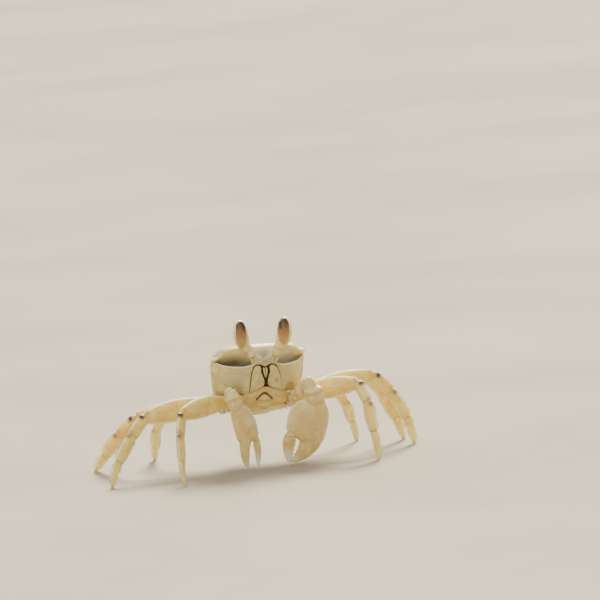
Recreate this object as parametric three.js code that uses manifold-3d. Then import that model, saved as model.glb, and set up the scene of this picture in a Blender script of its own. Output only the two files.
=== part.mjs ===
// Ghost crab standing with its front raised: a box-shaped carapace with two open orbits, tall eyes on
// stalks, unequal claws hanging in front, and four pairs of walking legs resting on their tips.
// Millimetres, +Z up, the crab faces -Y and its left side is +X.
import * as THREE from 'three';
import { mergeVertices } from 'three/addons/utils/BufferGeometryUtils.js';
import Module from 'manifold-3d';

// Body: the body frame has its origin midway between the two outer orbital teeth.
const BODY_HEIGHT = 28.4; // origin of the body frame above the floor
const BODY_PITCH = 14; // degrees, front raised
const BODY_ROLL = 3.0; // degrees, left side lower
const BODY_HALF_WIDTH = 13.0; // outer orbital teeth
const OUTLINE_POINTS = 48;
// Slices of the shell from the belly up: height, half width, front edge, widest point, back edge.
const SHELL_SLICES = [
  [-9.3, 8.4, 0.2, 6.0, 13.6],
  [-9.3, 9.6, -1.4, 5.6, 14.8],
  [-9.0, 10.8, -2.5, 5.2, 15.9],
  [-8.2, 11.8, -3.4, 4.8, 16.9],
  [-6.2, 12.4, -4.1, 3.8, 17.7],
  [-3.6, 12.7, -4.6, 2.8, 18.1],
  [-1.2, 12.8, -4.5, 2.0, 18.1],
  [0.3, 12.5, -4.1, 1.6, 17.7],
  [1.3, 11.7, -3.6, 1.6, 17.0],
  [2.2, 10.2, -2.6, 1.8, 15.8],
  [2.8, 7.8, -1.0, 2.6, 13.6],
  [3.1, 4.6, 1.8, 4.0, 10.6],
];
const BACK_TAPER = 0.027; // the shell narrows by this share for each mm behind its widest point
const FRONT_SWEEP = 3.7; // the corners of the front lie this much further back than its middle
const MOUTH_DROP = 1.8; // the shell reaches this much lower beside the mouth

// Face
const ORBIT_CENTRE = [8.1, -3.6, -1.05];
const ORBIT_SIZE = [5.3, 3.0, 2.55];
const ORBIT_SWEEP = 17; // degrees, the outer end lies further back
// Front lobe: y, z, half width, half thickness and lean of its sections, from the shell to its tip.
const FRONT_LOBE = [
  [-0.6, 2.2, 2.9, 0.8, 0], [-3.0, 1.8, 2.9, 0.75, 30], [-4.1, 0.6, 2.5, 0.6, 65],
  [-4.5, -0.9, 1.5, 0.5, 85], [-4.5, -2.2, 0.5, 0.4, 90],
];
const TOOTH_TIP_Y = -0.9;
const MOUTH_TOP = -3.9;
const MOUTH_BOTTOM = -11.2;
const MOUTH_HALF_TOP = 3.4;
const MOUTH_HALF_BOTTOM = 4.2;
const MOUTH_BACK = -2.9; // at its top
const MOUTH_SLOPE = 0.25; // the mouth lies this much further back for each mm down

// Eyes
const EYE_CENTRE = [5.7, -5.1, 5.05];
const EYE_HALF = [2.1, 1.95, 4.15];
const EYE_TILT_OUT = 3;
const EYE_TILT_FORWARD = 14;
// Stalk: x, y, z and radius from the root beside the front lobe to the back of the cornea.
const STALK_PATH = [
  [3.7, -5.0, 0.2, 0.6], [3.6, -4.2, 1.6, 0.75], [3.3, -3.2, 3.2, 0.75], [3.2, -3.0, 5.2, 0.6],
  [3.7, -3.3, 7.4, 0.4],
];

// Underside
const STERNUM_HALF_WIDTH = 6.2;
const STERNUM_BOTTOM = -12.9;
const ABDOMEN_THICKNESS = 0.8;

// Limbs
const JOINT_GAP = 0.26; // each segment stops this far from the joint centre
const RING_POINTS = 10;
const COXA_Y = [-2.3, 0.9, 4.1, 7.3, 10.5];
const COXA_INNER_X = 6.75;
const HIP_X = [7.9, 9.6, 9.8, 9.6, 8.8];
const HIP_Z = [-11.9, -11.5, -11.6, -11.7, -11.7];
const TIP_RADIUS = 0.4;
// Lengths of merus, carpus, propodus and dactyl for the four walking legs.
const LEG_LENGTHS = [
  [17.8, 6.0, 8.0, 7.6],
  [21.4, 6.6, 9.0, 7.6],
  [22.0, 6.7, 8.8, 7.1],
  [16.5, 5.3, 6.9, 6.1],
];
// Azimuth (0 = straight out, positive = forward) and elevation of each segment, in degrees. The
// dactyl's elevation isn't listed: it drops to the floor.
const LEG_ANGLES = {
  right: [
    [[28, -1], [57, -52], [67, -56], [76]],
    [[-2, -2], [26, -37], [34, -40], [41]],
    [[-19, -3], [-50, -38], [-68, -42], [-74]],
    [[-47, -6], [-74, -44], [-97, -51], [-104]],
  ],
  left: [
    [[44, 10], [80, -48], [82, -74], [82]],
    [[14, 11], [-8, -46], [-14, -58], [-14]],
    [[2, 11], [-18, -48], [-26, -58], [-28]],
    [[-12, 4], [-36, -44], [-44, -56], [-44]],
  ],
};
const LEG_SCALE = [0.94, 1.0, 1.0, 0.82]; // heights and thicknesses of each pair
// Sections of each segment: fraction of its length, half height, half thickness.
const LEG_PROFILES = {
  merus: [
    [0, 0.55, 0.45], [0.05, 1.15, 0.85], [0.16, 1.65, 1.0], [0.36, 2.6, 1.15], [0.6, 2.85, 1.2],
    [0.84, 2.3, 1.15], [0.95, 1.6, 1.0], [1, 0.55, 0.5],
  ],
  carpus: [[0, 0.45, 0.4], [0.13, 1.15, 0.85], [0.5, 1.5, 1.0], [0.86, 1.55, 0.9], [1, 0.7, 0.45]],
  propodus: [[0, 0.6, 0.35], [0.08, 1.3, 0.75], [0.5, 1.5, 0.8], [0.9, 1.3, 0.7], [1, 0.6, 0.35]],
  dactyl: [[0, 0.6, 0.35], [0.1, 1.2, 0.7], [0.4, 1.05, 0.62], [0.75, 0.7, 0.46]],
};

// Claw arms in world coordinates, before the model is centred: elbow, wrist, end of the palm, tip of
// the fixed finger, hinge and tip of the movable finger, then the palm's half width.
const CLAWS = {
  right: {
    elbow: [-12.2, -8.6, 21.4], wrist: [-11.0, -9.8, 18.5], palmEnd: [-8.0, -9.4, 7.8],
    fixedTip: [-8.7, -8.7, 0.7], hinge: [-6.0, -9.5, 7.5], fingerTip: [-5.8, -8.9, 0.7], halfWidth: 3.0,
  },
  left: {
    elbow: [10.0, -10.6, 21.3], wrist: [11.7, -10.8, 17.1], palmEnd: [7.0, -9.9, 6.3],
    fixedTip: [3.7, -9.1, 0.6], hinge: [3.3, -9.9, 7.4], fingerTip: [2.5, -9.3, 0.6], halfWidth: 5.3,
  },
};
// Sections of the palm, of the fixed finger that carries on from it, and of the movable finger, and of
// the two segments above them: fraction of length, half width, half thickness.
const CLAW_PROFILES = {
  palm: [
    [0.05, 0.22, 0.3], [0.12, 0.48, 0.46], [0.32, 0.86, 0.8], [0.6, 1.0, 1.0], [0.85, 0.97, 0.9],
    [0.96, 0.9, 0.75],
  ],
  fixed: [[0.06, 0.52, 0.6], [0.35, 0.42, 0.5], [0.7, 0.28, 0.34], [1, 0.08, 0.1]],
  finger: [[0.04, 0.18, 0.2], [0.14, 0.29, 0.42], [0.45, 0.27, 0.4], [0.75, 0.19, 0.28], [1, 0.07, 0.1]],
  merus: [[0, 0.5, 0.5], [0.14, 1.0, 1.1], [0.5, 1.1, 1.5], [0.8, 1.0, 1.4], [1, 0.4, 0.5]],
  carpus: [[0, 0.7, 0.7], [0.22, 1.5, 1.7], [0.6, 1.8, 2.3], [0.88, 1.3, 1.8], [1, 0.6, 0.8]],
};
const PALM_THICKNESS = 0.43; // half thickness as a share of half width
const CLAW_FACE = new THREE.Vector3(-0.34, -0.94, 0.0); // the palms' outer faces look this way

const materials = {
  shell: new THREE.MeshStandardMaterial({ color: 0xd9d3bd, roughness: 0.55, metalness: 0 }),
  belly: new THREE.MeshStandardMaterial({ color: 0xd9bd9c, roughness: 0.5, metalness: 0 }),
  claw: new THREE.MeshStandardMaterial({ color: 0xe9e4d2, roughness: 0.45, metalness: 0 }),
  leg: new THREE.MeshStandardMaterial({ color: 0xd8c88c, roughness: 0.45, metalness: 0 }),
  stalk: new THREE.MeshStandardMaterial({ color: 0xe4dcae, roughness: 0.4, metalness: 0 }),
  eye: new THREE.MeshStandardMaterial({ color: 0xb08a5c, roughness: 0.15, metalness: 0 }),
};

const wasm = await Module();
wasm.setup();
const crab = new THREE.Group();
const radians = THREE.MathUtils.degToRad;
const vector = (list) => new THREE.Vector3(...list);
const smooth = (value, low, high) => THREE.MathUtils.smoothstep(value, low, high);

// Body frame to world.
const bodyPose = new THREE.Matrix4()
  .makeRotationX(radians(-BODY_PITCH))
  .multiply(new THREE.Matrix4().makeRotationY(radians(BODY_ROLL)))
  .setPosition(0, 0, BODY_HEIGHT);
const onBody = (list) => vector(list).applyMatrix4(bodyPose);

// A closed solid skinned over rings of points, with a flat cap at each end.
function loft(rings) {
  const count = rings[0].length;
  const positions = rings.flat().flatMap((point) => point.toArray());
  const triangles = [];
  for (let ring = 0; ring < rings.length - 1; ring += 1) {
    for (let step = 0; step < count; step += 1) {
      const next = (step + 1) % count;
      const [a, b] = [ring * count + step, ring * count + next];
      triangles.push(a, b, b + count, a, b + count, a + count);
    }
  }
  const last = (rings.length - 1) * count;
  for (let step = 1; step < count - 1; step += 1) {
    triangles.push(0, step + 1, step, last, last + step, last + step + 1);
  }
  const geometry = new THREE.BufferGeometry();
  geometry.setAttribute('position', new THREE.Float32BufferAttribute(positions, 3));
  geometry.setIndex(triangles);
  return facingOut(geometry);
}

// Turns every triangle over if the solid's signed volume is negative.
function facingOut(geometry) {
  const { position } = geometry.attributes;
  const index = geometry.index.array;
  const [a, b, c] = [new THREE.Vector3(), new THREE.Vector3(), new THREE.Vector3()];
  let volume = 0;
  for (let face = 0; face < index.length; face += 3) {
    a.fromBufferAttribute(position, index[face]);
    b.fromBufferAttribute(position, index[face + 1]);
    c.fromBufferAttribute(position, index[face + 2]);
    volume += a.dot(b.cross(c));
  }
  if (volume < 0) {
    for (let face = 0; face < index.length; face += 3) {
      [index[face + 1], index[face + 2]] = [index[face + 2], index[face + 1]];
    }
  }
  return geometry;
}

// A ring of points: a superellipse of the given half sizes in the plane of two unit vectors.
function ring(centre, tall, wide, halfTall, halfWide, power = 2.3, count = RING_POINTS) {
  return Array.from({ length: count }, (_, step) => {
    const angle = (2 * Math.PI * (step + 0.5)) / count;
    const bend = (value) => Math.sign(value) * Math.abs(value) ** (2 / power);
    return centre.clone()
      .addScaledVector(tall, halfTall * bend(Math.sin(angle)))
      .addScaledVector(wide, halfWide * bend(Math.cos(angle)));
  });
}

// A limb segment between two joints. The profile lists fraction of length, half height and half
// thickness; the height lies nearest to the given direction.
function segment(start, end, upright, profile, gaps = [JOINT_GAP, JOINT_GAP]) {
  const axis = end.clone().sub(start).normalize();
  const wide = axis.clone().cross(upright).normalize();
  const tall = wide.clone().cross(axis).normalize();
  const first = start.clone().addScaledVector(axis, gaps[0]);
  const last = end.clone().addScaledVector(axis, -gaps[1]);
  return loft(profile.map(([along, halfTall, halfWide]) => (
    ring(first.clone().lerp(last, along), tall, wide, halfTall, halfWide)
  )));
}

// A closed ellipsoid on three half-axis vectors.
function ellipsoid(centre, axes, around = 16, levels = 10) {
  const ball = mergeVertices(new THREE.SphereGeometry(1, around, levels)
    .deleteAttribute('normal').deleteAttribute('uv'), 1e-5);
  const frame = new THREE.Matrix4().makeBasis(...axes).setPosition(centre);
  return facingOut(ball.applyMatrix4(frame));
}

function solidOf(geometry) {
  return new wasm.Manifold(new wasm.Mesh({
    numProp: 3,
    vertProperties: new Float32Array(geometry.attributes.position.array),
    triVerts: new Uint32Array(geometry.index.array),
  }));
}

function geometryOf(solid) {
  const mesh = solid.getMesh();
  const geometry = new THREE.BufferGeometry();
  geometry.setAttribute('position', new THREE.Float32BufferAttribute(mesh.vertProperties, 3));
  geometry.setIndex([...mesh.triVerts]);
  return geometry;
}

function add(name, geometry, material) {
  const mesh = new THREE.Mesh(geometry, material);
  mesh.name = name;
  crab.add(mesh);
}

// Carapace: slices stacked from the belly to the low dome of the back.
const mouthDrop = (x, y) => MOUTH_DROP * smooth(-y, -0.6, 1.2) * (1 - smooth(Math.abs(x), 4.8, 7.2));
function slice([height, halfWidth, front, middle, back], drop) {
  return Array.from({ length: OUTLINE_POINTS }, (_, step) => {
    const angle = (2 * Math.PI * (step + 0.5)) / OUTLINE_POINTS;
    const facing = Math.sin(angle) < 0;
    const power = facing ? 4.6 - 2.1 * smooth(-height, 1.0, 5.0) : 3;
    const reach = facing ? middle - front : back - middle;
    const bend = (value) => Math.sign(value) * Math.abs(value) ** (2 / power);
    const x = halfWidth * bend(Math.cos(angle));
    const y = middle + reach * bend(Math.sin(angle));
    const taper = 1 - BACK_TAPER * Math.max(y - middle, 0);
    const sweep = FRONT_SWEEP * (x / BODY_HALF_WIDTH) ** 2 * smooth(middle - y, 0, 5);
    return new THREE.Vector3(x * taper, y + sweep, height - drop * mouthDrop(x, y + sweep));
  });
}
const shellRings = SHELL_SLICES.map((row) => slice(row, smooth(-row[0], 3.6, 9.0)));
let shell = solidOf(loft(shellRings));

// Front lobe between the eyes, bent down over the face and narrowing to its tip.
const lobeRings = FRONT_LOBE.map(([y, z, half, thick, lean]) => {
  const normal = new THREE.Vector3(0, -Math.sin(radians(lean)), Math.cos(radians(lean)));
  return ring(new THREE.Vector3(0, y, z), normal, new THREE.Vector3(1, 0, 0), thick, half);
});
shell = shell.add(solidOf(loft(lobeRings)));

for (const side of [-1, 1]) {
  // Outer orbital tooth at the front corner.
  const tooth = [[2.6, 1.5, 1.1], [0.9, 0.95, 0.75], [TOOTH_TIP_Y, 0.3, 0.25]].map(([y, tall, wide]) => {
    const x = side * (BODY_HALF_WIDTH - 1.1 + 0.24 * (2.6 - y));
    const centre = new THREE.Vector3(x, y, -0.5 + 0.1 * (2.6 - y));
    return ring(centre, new THREE.Vector3(0, 0, 1), new THREE.Vector3(1, 0, 0), tall, wide);
  });
  shell = shell.add(solidOf(loft(tooth)));
  // Orbit: a long shallow bowl across each half of the face.
  const sweep = radians(side * ORBIT_SWEEP);
  const [a, b, c] = ORBIT_SIZE;
  const bowl = ellipsoid(vector([side * ORBIT_CENTRE[0], ORBIT_CENTRE[1], ORBIT_CENTRE[2]]), [
    new THREE.Vector3(Math.cos(sweep), Math.sin(sweep), 0).multiplyScalar(a),
    new THREE.Vector3(-Math.sin(sweep), Math.cos(sweep), 0).multiplyScalar(b),
    new THREE.Vector3(0, 0, c),
  ], 20, 12);
  shell = shell.subtract(solidOf(bowl));
}

// Mouth recess, open in front and below.
const recess = [-7, MOUTH_BACK].map((y) => [
  [-MOUTH_HALF_TOP, MOUTH_TOP], [MOUTH_HALF_TOP, MOUTH_TOP],
  [MOUTH_HALF_BOTTOM, MOUTH_BOTTOM - 1], [-MOUTH_HALF_BOTTOM, MOUTH_BOTTOM - 1],
].map(([x, z]) => new THREE.Vector3(x, y + MOUTH_SLOPE * (MOUTH_TOP - z), z)));
shell = shell.subtract(solidOf(loft(recess)));
add('carapace', geometryOf(shell).applyMatrix4(bodyPose), materials.shell);

// Outer mouthparts: two long plates that close the mouth, meeting in the middle.
for (const [word, side] of [['right', -1], ['left', 1]]) {
  const rows = [
    [-4.25, 1.0, 2.5, 0.35], [-4.7, 0.9, 3.0, 0.6], [-6.8, 0.2, 3.25, 0.7],
    [-9.4, 0.2, 3.65, 0.65], [-10.7, 1.1, 3.7, 0.4],
  ];
  add(`maxilliped_${word}`, loft(rows.map(([z, inner, outer, thick]) => ring(
    new THREE.Vector3(side * (inner + outer) / 2, MOUTH_BACK - 1.05 + MOUTH_SLOPE * (MOUTH_TOP - z), z),
    new THREE.Vector3(0, 1, 0), new THREE.Vector3(1, 0, 0), thick, (outer - inner) / 2, 3.2,
  ))).applyMatrix4(bodyPose), materials.shell);
}

// Eyes: a tall cornea on the outer side of a bent stalk.
for (const [word, side] of [['right', -1], ['left', 1]]) {
  const turn = new THREE.Matrix4().makeRotationY(radians(side * EYE_TILT_OUT))
    .multiply(new THREE.Matrix4().makeRotationX(radians(EYE_TILT_FORWARD)));
  const axes = [[1, 0, 0], [0, 1, 0], [0, 0, 1]].map((unit, at) => (
    vector(unit).applyMatrix4(turn).multiplyScalar(EYE_HALF[at])));
  const centre = vector([side * EYE_CENTRE[0], EYE_CENTRE[1], EYE_CENTRE[2]]);
  add(`eye_${word}`, ellipsoid(centre, axes, 18, 14).applyMatrix4(bodyPose), materials.eye);
  // The stalk rises along the inner back side of the cornea.
  const path = STALK_PATH.map(([x, y, z, radius]) => [vector([side * x, y, z]), radius]);
  const stalk = path.map(([at, radius], row) => {
    const before = path[Math.max(row - 1, 0)][0];
    const after = path[Math.min(row + 1, path.length - 1)][0];
    const axis = after.clone().sub(before).normalize();
    const wide = axis.clone().cross(new THREE.Vector3(0, 1, 0)).normalize();
    return ring(at, wide.clone().cross(axis), wide, radius, radius, 2);
  });
  add(`eyestalk_${word}`, loft(stalk).applyMatrix4(bodyPose), materials.stalk);
}

// Sternum: the chest plate between the legs, under the shell.
const sternumRings = [
  [-9.65, -0.3, 0.6, 12.6, 1], [-10.1, 0.0, -0.8, 13.2, 1], [-11.9, -0.1, -2.0, 12.8, 0],
  [STERNUM_BOTTOM, -1.2, -0.4, 11.6, 0],
].map(([height, inset, front, back, drop]) => (
  slice([height, STERNUM_HALF_WIDTH + inset, front, 4.0, back], drop)));
add('sternum', loft(sternumRings).applyMatrix4(bodyPose), materials.belly);

// Abdomen: a tapering flap from behind the shell, folded forward under the sternum.
const abdomenPath = [
  [0.8, -13.5, 1.0], [2.4, -13.7, 2.4], [5.6, -13.7, 3.4], [9.6, -13.7, 4.0], [12.6, -13.4, 4.4],
  [15.8, -12.0, 4.8], [17.8, -9.6, 5.1], [18.7, -7.4, 5.4],
];
add('abdomen', loft(abdomenPath.map(([y, z, half], row) => {
  const [before, after] = [Math.max(row - 1, 0), Math.min(row + 1, abdomenPath.length - 1)];
  const along = new THREE.Vector3(0, abdomenPath[after][0] - abdomenPath[before][0],
    abdomenPath[after][1] - abdomenPath[before][1]).normalize();
  const normal = new THREE.Vector3(0, -along.z, along.y);
  return ring(new THREE.Vector3(0, y, z), normal, new THREE.Vector3(1, 0, 0), ABDOMEN_THICKNESS / 2, half, 3);
})).applyMatrix4(bodyPose), materials.belly);

// Coxae: the short base segments of the claw arms and the walking legs.
for (const [word, side] of [['right', -1], ['left', 1]]) {
  COXA_Y.forEach((y, at) => {
    const inner = onBody([side * COXA_INNER_X, y, HIP_Z[at] - 0.35]);
    const hip = onBody([side * HIP_X[at], y, HIP_Z[at]]);
    const tall = onBody([0, 0, 1]).sub(onBody([0, 0, 0]));
    const scale = at === 4 ? 0.85 : 1;
    add(`coxa_${word}_${at + 1}`, segment(inner, hip, tall, [
      [0, 1.1, 1.0], [0.3, 1.5, 1.4], [0.75, 1.35, 1.3], [1, 0.7, 0.7],
    ].map(([t, a, b]) => [t, a * scale, b * scale]), [0.1, JOINT_GAP]), materials.belly);
  });
}

// Walking legs: broad flat merus, short carpus, flat propodus, and a pointed dactyl on the floor.
const direction = (side, azimuth, elevation) => new THREE.Vector3(
  side * Math.cos(radians(azimuth)) * Math.cos(radians(elevation)),
  -Math.sin(radians(azimuth)) * Math.cos(radians(elevation)),
  Math.sin(radians(elevation)),
);
for (const [word, side] of [['right', -1], ['left', 1]]) {
  LEG_ANGLES[word].forEach((angles, pair) => {
    const lengths = LEG_LENGTHS[pair];
    const scale = LEG_SCALE[pair];
    let joint = onBody([side * HIP_X[pair + 1], COXA_Y[pair + 1], HIP_Z[pair + 1]]);
    const front = direction(side, angles[0][0] + 90, 0); // the flat sides face this way
    ['merus', 'carpus', 'propodus'].forEach((part, at) => {
      const along = direction(side, ...angles[at]);
      const end = joint.clone().addScaledVector(along, lengths[at]);
      const profile = LEG_PROFILES[part].map(([t, tall, wide]) => [t, tall * scale, wide * scale]);
      const tall = front.clone().cross(along);
      add(`leg_${word}_${pair + 1}_${part}`, segment(joint, end, tall, profile), materials.leg);
      joint = end;
    });
    // The dactyl's last ring lies flat on the floor.
    const drop = Math.asin(Math.min(joint.z / lengths[3], 0.999));
    const along = direction(side, angles[3][0], -THREE.MathUtils.radToDeg(drop));
    const tall = front.clone().cross(along).normalize();
    const wide = along.clone().cross(tall).normalize();
    const reach = (joint.z) / -along.z;
    const rings = LEG_PROFILES.dactyl.map(([t, halfTall, halfWide]) => ring(
      joint.clone().addScaledVector(along, JOINT_GAP + t * (reach - JOINT_GAP)), tall, wide,
      halfTall * scale, halfWide * scale,
    ));
    const tip = ring(joint.clone().addScaledVector(along, reach), tall, wide, TIP_RADIUS, TIP_RADIUS);
    rings.push(tip.map((point) => point.addScaledVector(along, point.z / -along.z)));
    add(`leg_${word}_${pair + 1}_dactyl`, loft(rings), materials.leg);
  });
}

// Claw arms: merus, carpus, palm with its fixed finger, and movable finger.
for (const [word, side] of [['right', -1], ['left', 1]]) {
  const claw = CLAWS[word];
  const [elbow, wrist, palmEnd] = [claw.elbow, claw.wrist, claw.palmEnd].map(vector);
  const [fixedTip, hinge, fingerTip] = [claw.fixedTip, claw.hinge, claw.fingerTip].map(vector);
  const slim = 0.55 + 0.45 * (claw.halfWidth / CLAWS.left.halfWidth);
  const slimmed = (part) => CLAW_PROFILES[part].map(([t, tall, wide]) => [t, tall * slim, wide * slim]);
  const hip = onBody([side * HIP_X[0], COXA_Y[0], HIP_Z[0]]);
  add(`claw_merus_${word}`, segment(hip, elbow, CLAW_FACE, slimmed('merus'), [0.5, 2.0]), materials.claw);
  add(`claw_carpus_${word}`, segment(elbow, wrist, CLAW_FACE, slimmed('carpus'), [0, 0.3]), materials.claw);
  // The palm's sections are strung from the wrist to its end, then bow out to the fixed fingertip.
  const axis = palmEnd.clone().sub(wrist).normalize();
  const across = CLAW_FACE.clone().cross(axis).normalize(); // towards the movable finger
  if (across.x * side > 0) across.negate();
  const thickness = axis.clone().cross(across).normalize();
  const palmThickness = PALM_THICKNESS * claw.halfWidth;
  const fingerRoot = palmEnd.clone().addScaledVector(across, -0.3 * claw.halfWidth);
  const strung = (from, to, bow) => ([t, wide, thick]) => {
    const centre = from.clone().lerp(to, t)
      .addScaledVector(across, bow * claw.halfWidth * Math.sin(Math.PI * t));
    const half = Math.max(thick * palmThickness, 0.28);
    return ring(centre, across, thickness, wide * claw.halfWidth, half, 2.4, 14);
  };
  add(`claw_palm_${word}`, loft([
    ...CLAW_PROFILES.palm.map(strung(wrist, palmEnd, 0.12)),
    ...CLAW_PROFILES.fixed.map(strung(fingerRoot, fixedTip, -0.16)),
  ]), materials.claw);
  const fingerAxis = fingerTip.clone().sub(hinge).normalize();
  const fingerWide = thickness.clone().cross(fingerAxis).normalize();
  add(`claw_finger_${word}`, loft(CLAW_PROFILES.finger.map(([t, wide, thick]) => ring(
    hinge.clone().lerp(fingerTip, t).addScaledVector(across, 0.1 * claw.halfWidth * Math.sin(Math.PI * t)),
    fingerWide, thickness, Math.max(wide * claw.halfWidth, 0.28), Math.max(thick * palmThickness, 0.28),
  ))), materials.claw);
}

// The origin is under the middle of the whole crab, on the floor.
const box = new THREE.Box3().setFromObject(crab);
const middle = box.getCenter(new THREE.Vector3());
crab.position.set(-middle.x, -middle.y, -box.min.z);
crab.updateMatrixWorld(true);

export default crab;
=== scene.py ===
# A young ghost crab, life size, standing still with its front raised. The whole crab is dried and
# set as it stood: thin chalky shell plates that meet at soft skin joints, with fine hair on its legs.
import bpy
import numpy as np
from mathutils import Matrix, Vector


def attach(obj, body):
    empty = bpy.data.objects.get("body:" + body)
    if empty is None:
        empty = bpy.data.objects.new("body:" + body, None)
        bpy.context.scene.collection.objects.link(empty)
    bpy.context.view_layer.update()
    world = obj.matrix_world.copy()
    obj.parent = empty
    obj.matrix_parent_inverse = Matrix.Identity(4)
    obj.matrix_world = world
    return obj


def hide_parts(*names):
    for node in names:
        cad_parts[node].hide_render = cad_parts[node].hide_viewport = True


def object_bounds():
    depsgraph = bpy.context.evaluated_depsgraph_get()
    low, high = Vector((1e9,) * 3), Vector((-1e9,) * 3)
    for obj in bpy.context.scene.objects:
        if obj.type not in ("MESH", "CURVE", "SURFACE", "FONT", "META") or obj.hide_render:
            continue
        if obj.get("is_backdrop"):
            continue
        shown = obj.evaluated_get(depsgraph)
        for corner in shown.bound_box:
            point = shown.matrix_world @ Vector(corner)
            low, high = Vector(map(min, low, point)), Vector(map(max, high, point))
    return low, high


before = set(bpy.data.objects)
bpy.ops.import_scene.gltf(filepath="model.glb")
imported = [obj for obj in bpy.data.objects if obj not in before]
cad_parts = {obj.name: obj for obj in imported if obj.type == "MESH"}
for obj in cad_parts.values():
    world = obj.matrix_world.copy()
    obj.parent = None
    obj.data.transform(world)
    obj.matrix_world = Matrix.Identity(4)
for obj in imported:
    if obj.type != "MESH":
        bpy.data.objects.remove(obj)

cad_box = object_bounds()

# Stand, lens and lamps. The crab stands on a wide sheet of warm, pale studio paper, seen from its
# right front, a little above its feet, through a long lens. Wide soft lamps light it: a bright one
# high behind its left side, which lights the rims of shell and legs, one above, and a weak one in front.
CENTRING = np.array([2.105, -4.881, 0.0])
BODY_HEIGHT = 28.4
LENS_TURN, LENS_RISE, LENS_ROLL = np.radians([-20.0, 7.0, 5.0])
LENS_AWAY, LENS_LENGTH, LENS_WIDTH = 2.2, 507.7, 36
AIM_RIGHT, AIM_UP = 12.06, 13.30
SHEET = [(-6, -4, 0), (6, -4, 0), (6, 30, 0), (-6, 30, 0)]
ROOM_LIGHT = 0.55
LAMPS = (
    ("back_lamp", (0.55, 0.80, 0.85), 24, 9.0, "fff2dc"),
    ("top_lamp", (-0.45, 0.20, 1.0), 60, 1.3, "fffaf2"),
    ("front_lamp", (-0.50, -0.90, 0.45), 70, 0.8, "fffdf4"),
)


def unit(vectors):
    return vectors / np.linalg.norm(vectors, axis=-1, keepdims=True)


def added(name, data, axes=None, spot=None):
    """A new thing in the scene, turned to three axes and moved to a spot where they are given."""
    thing = bpy.data.objects.new(name, data)
    bpy.context.collection.objects.link(thing)
    if axes:
        turn = Matrix([[*row, 0] for row in np.column_stack(axes)] + [[0, 0, 0, 1]])
        thing.matrix_world = Matrix.Translation(spot) @ turn
    return thing


def hue(text):
    """A colour written as six hex digits, as light values."""
    parts = np.array([int(text[k:k + 2], 16) for k in (0, 2, 4)]) / 255
    return (*np.where(parts > 0.04045, ((parts + 0.055) / 1.055) ** 2.4, parts / 12.92), 1.0)


class Finish:
    """A painted material, built up in layers over one shader."""

    def __init__(self, name, **shader):
        self.material = bpy.data.materials.new(name)
        self.material.use_nodes = True
        self.tree = self.material.node_tree
        self.shader = self.tree.nodes["Principled BSDF"]
        for word, value in shader.items():
            self.shader.inputs[word.replace("_", " ")].default_value = value

    def node(self, kind, inputs=(), output=0, **settings):
        made = self.tree.nodes.new("ShaderNode" + kind)
        for word, value in settings.items():
            setattr(made, word, value)
        for key, value in dict(inputs).items():
            if isinstance(value, bpy.types.NodeSocket):
                self.tree.links.new(value, made.inputs[key])
            else:
                made.inputs[key].default_value = value
        return made.outputs[output]

    def mark(self, name):
        return self.node("Attribute", output="Fac", attribute_name=name)

    def place(self, stretch=(1, 1, 1)):
        vector = self.node("Attribute", output="Vector", attribute_name="place")
        return self.node("Mapping", {"Vector": vector, "Scale": stretch})

    def noise(self, size, detail=3, rough=0.55, stretch=(1, 1, 1), warp=0.0):
        """Cloudy values about 0.5, with patches about size millimetres across."""
        return self.node("TexNoise", {"Vector": self.place(stretch), "Scale": 1 / size, "Detail": detail,
                                      "Roughness": rough, "Distortion": warp}, "Fac")

    def cells(self, size):
        return self.node("TexVoronoi", {"Vector": self.place(), "Scale": 1 / size}, "Distance")

    def ramp(self, value, low, high, first=0.0, last=1.0):
        return self.node("MapRange", {"Value": value, "From Min": low, "From Max": high, "To Min": first,
                                      "To Max": last}, interpolation_type="SMOOTHSTEP")

    def math(self, operation, one, two):
        return self.node("Math", {0: one, 1: two}, operation=operation)

    def layers(self, tint, *rows):
        """A tint with others laid over it. A row is a tint, its share and the ramp of that share. The
        share is a value, the name of a mark, or a function that makes a value."""
        colour = hue(tint)
        for over, share, *ramp in rows:
            share = self.mark(share) if isinstance(share, str) else share(self) if callable(share) else share
            share = self.ramp(share, *ramp) if ramp else share
            over = hue(over) if isinstance(over, str) else over
            colour = self.node("Mix", {0: share, 6: colour, 7: over}, 2, data_type="RGBA")
        return colour

    def bump(self, height, distance):
        return self.node("Bump", {"Height": height, "Distance": distance / 1000, "Strength": 1.0})

    def done(self, colour, rough, normal=None):
        for word, value in (("Base Color", colour), ("Roughness", rough), ("Normal", normal)):
            if value:
                self.tree.links.new(value, self.shader.inputs[word])
        return self.material


right = np.array([np.cos(LENS_TURN), np.sin(LENS_TURN), 0])
level_back = np.array([np.sin(LENS_TURN), -np.cos(LENS_TURN), 0])
back = level_back * np.cos(LENS_RISE) + [0, 0, np.sin(LENS_RISE)]
up = np.cross(back, right)
aim = (np.array([0, 0, BODY_HEIGHT]) + AIM_RIGHT * right + AIM_UP * up + CENTRING) / 1000
across_view = right * np.cos(LENS_ROLL) - up * np.sin(LENS_ROLL)
up_view = right * np.sin(LENS_ROLL) + up * np.cos(LENS_ROLL)
lens = bpy.data.cameras.new("lens")
lens.lens, lens.sensor_width, lens.clip_start, lens.clip_end = LENS_LENGTH, LENS_WIDTH, 0.1, 100
bpy.context.scene.camera = added("camera", lens, (across_view, up_view, back), aim + LENS_AWAY * back)

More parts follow.
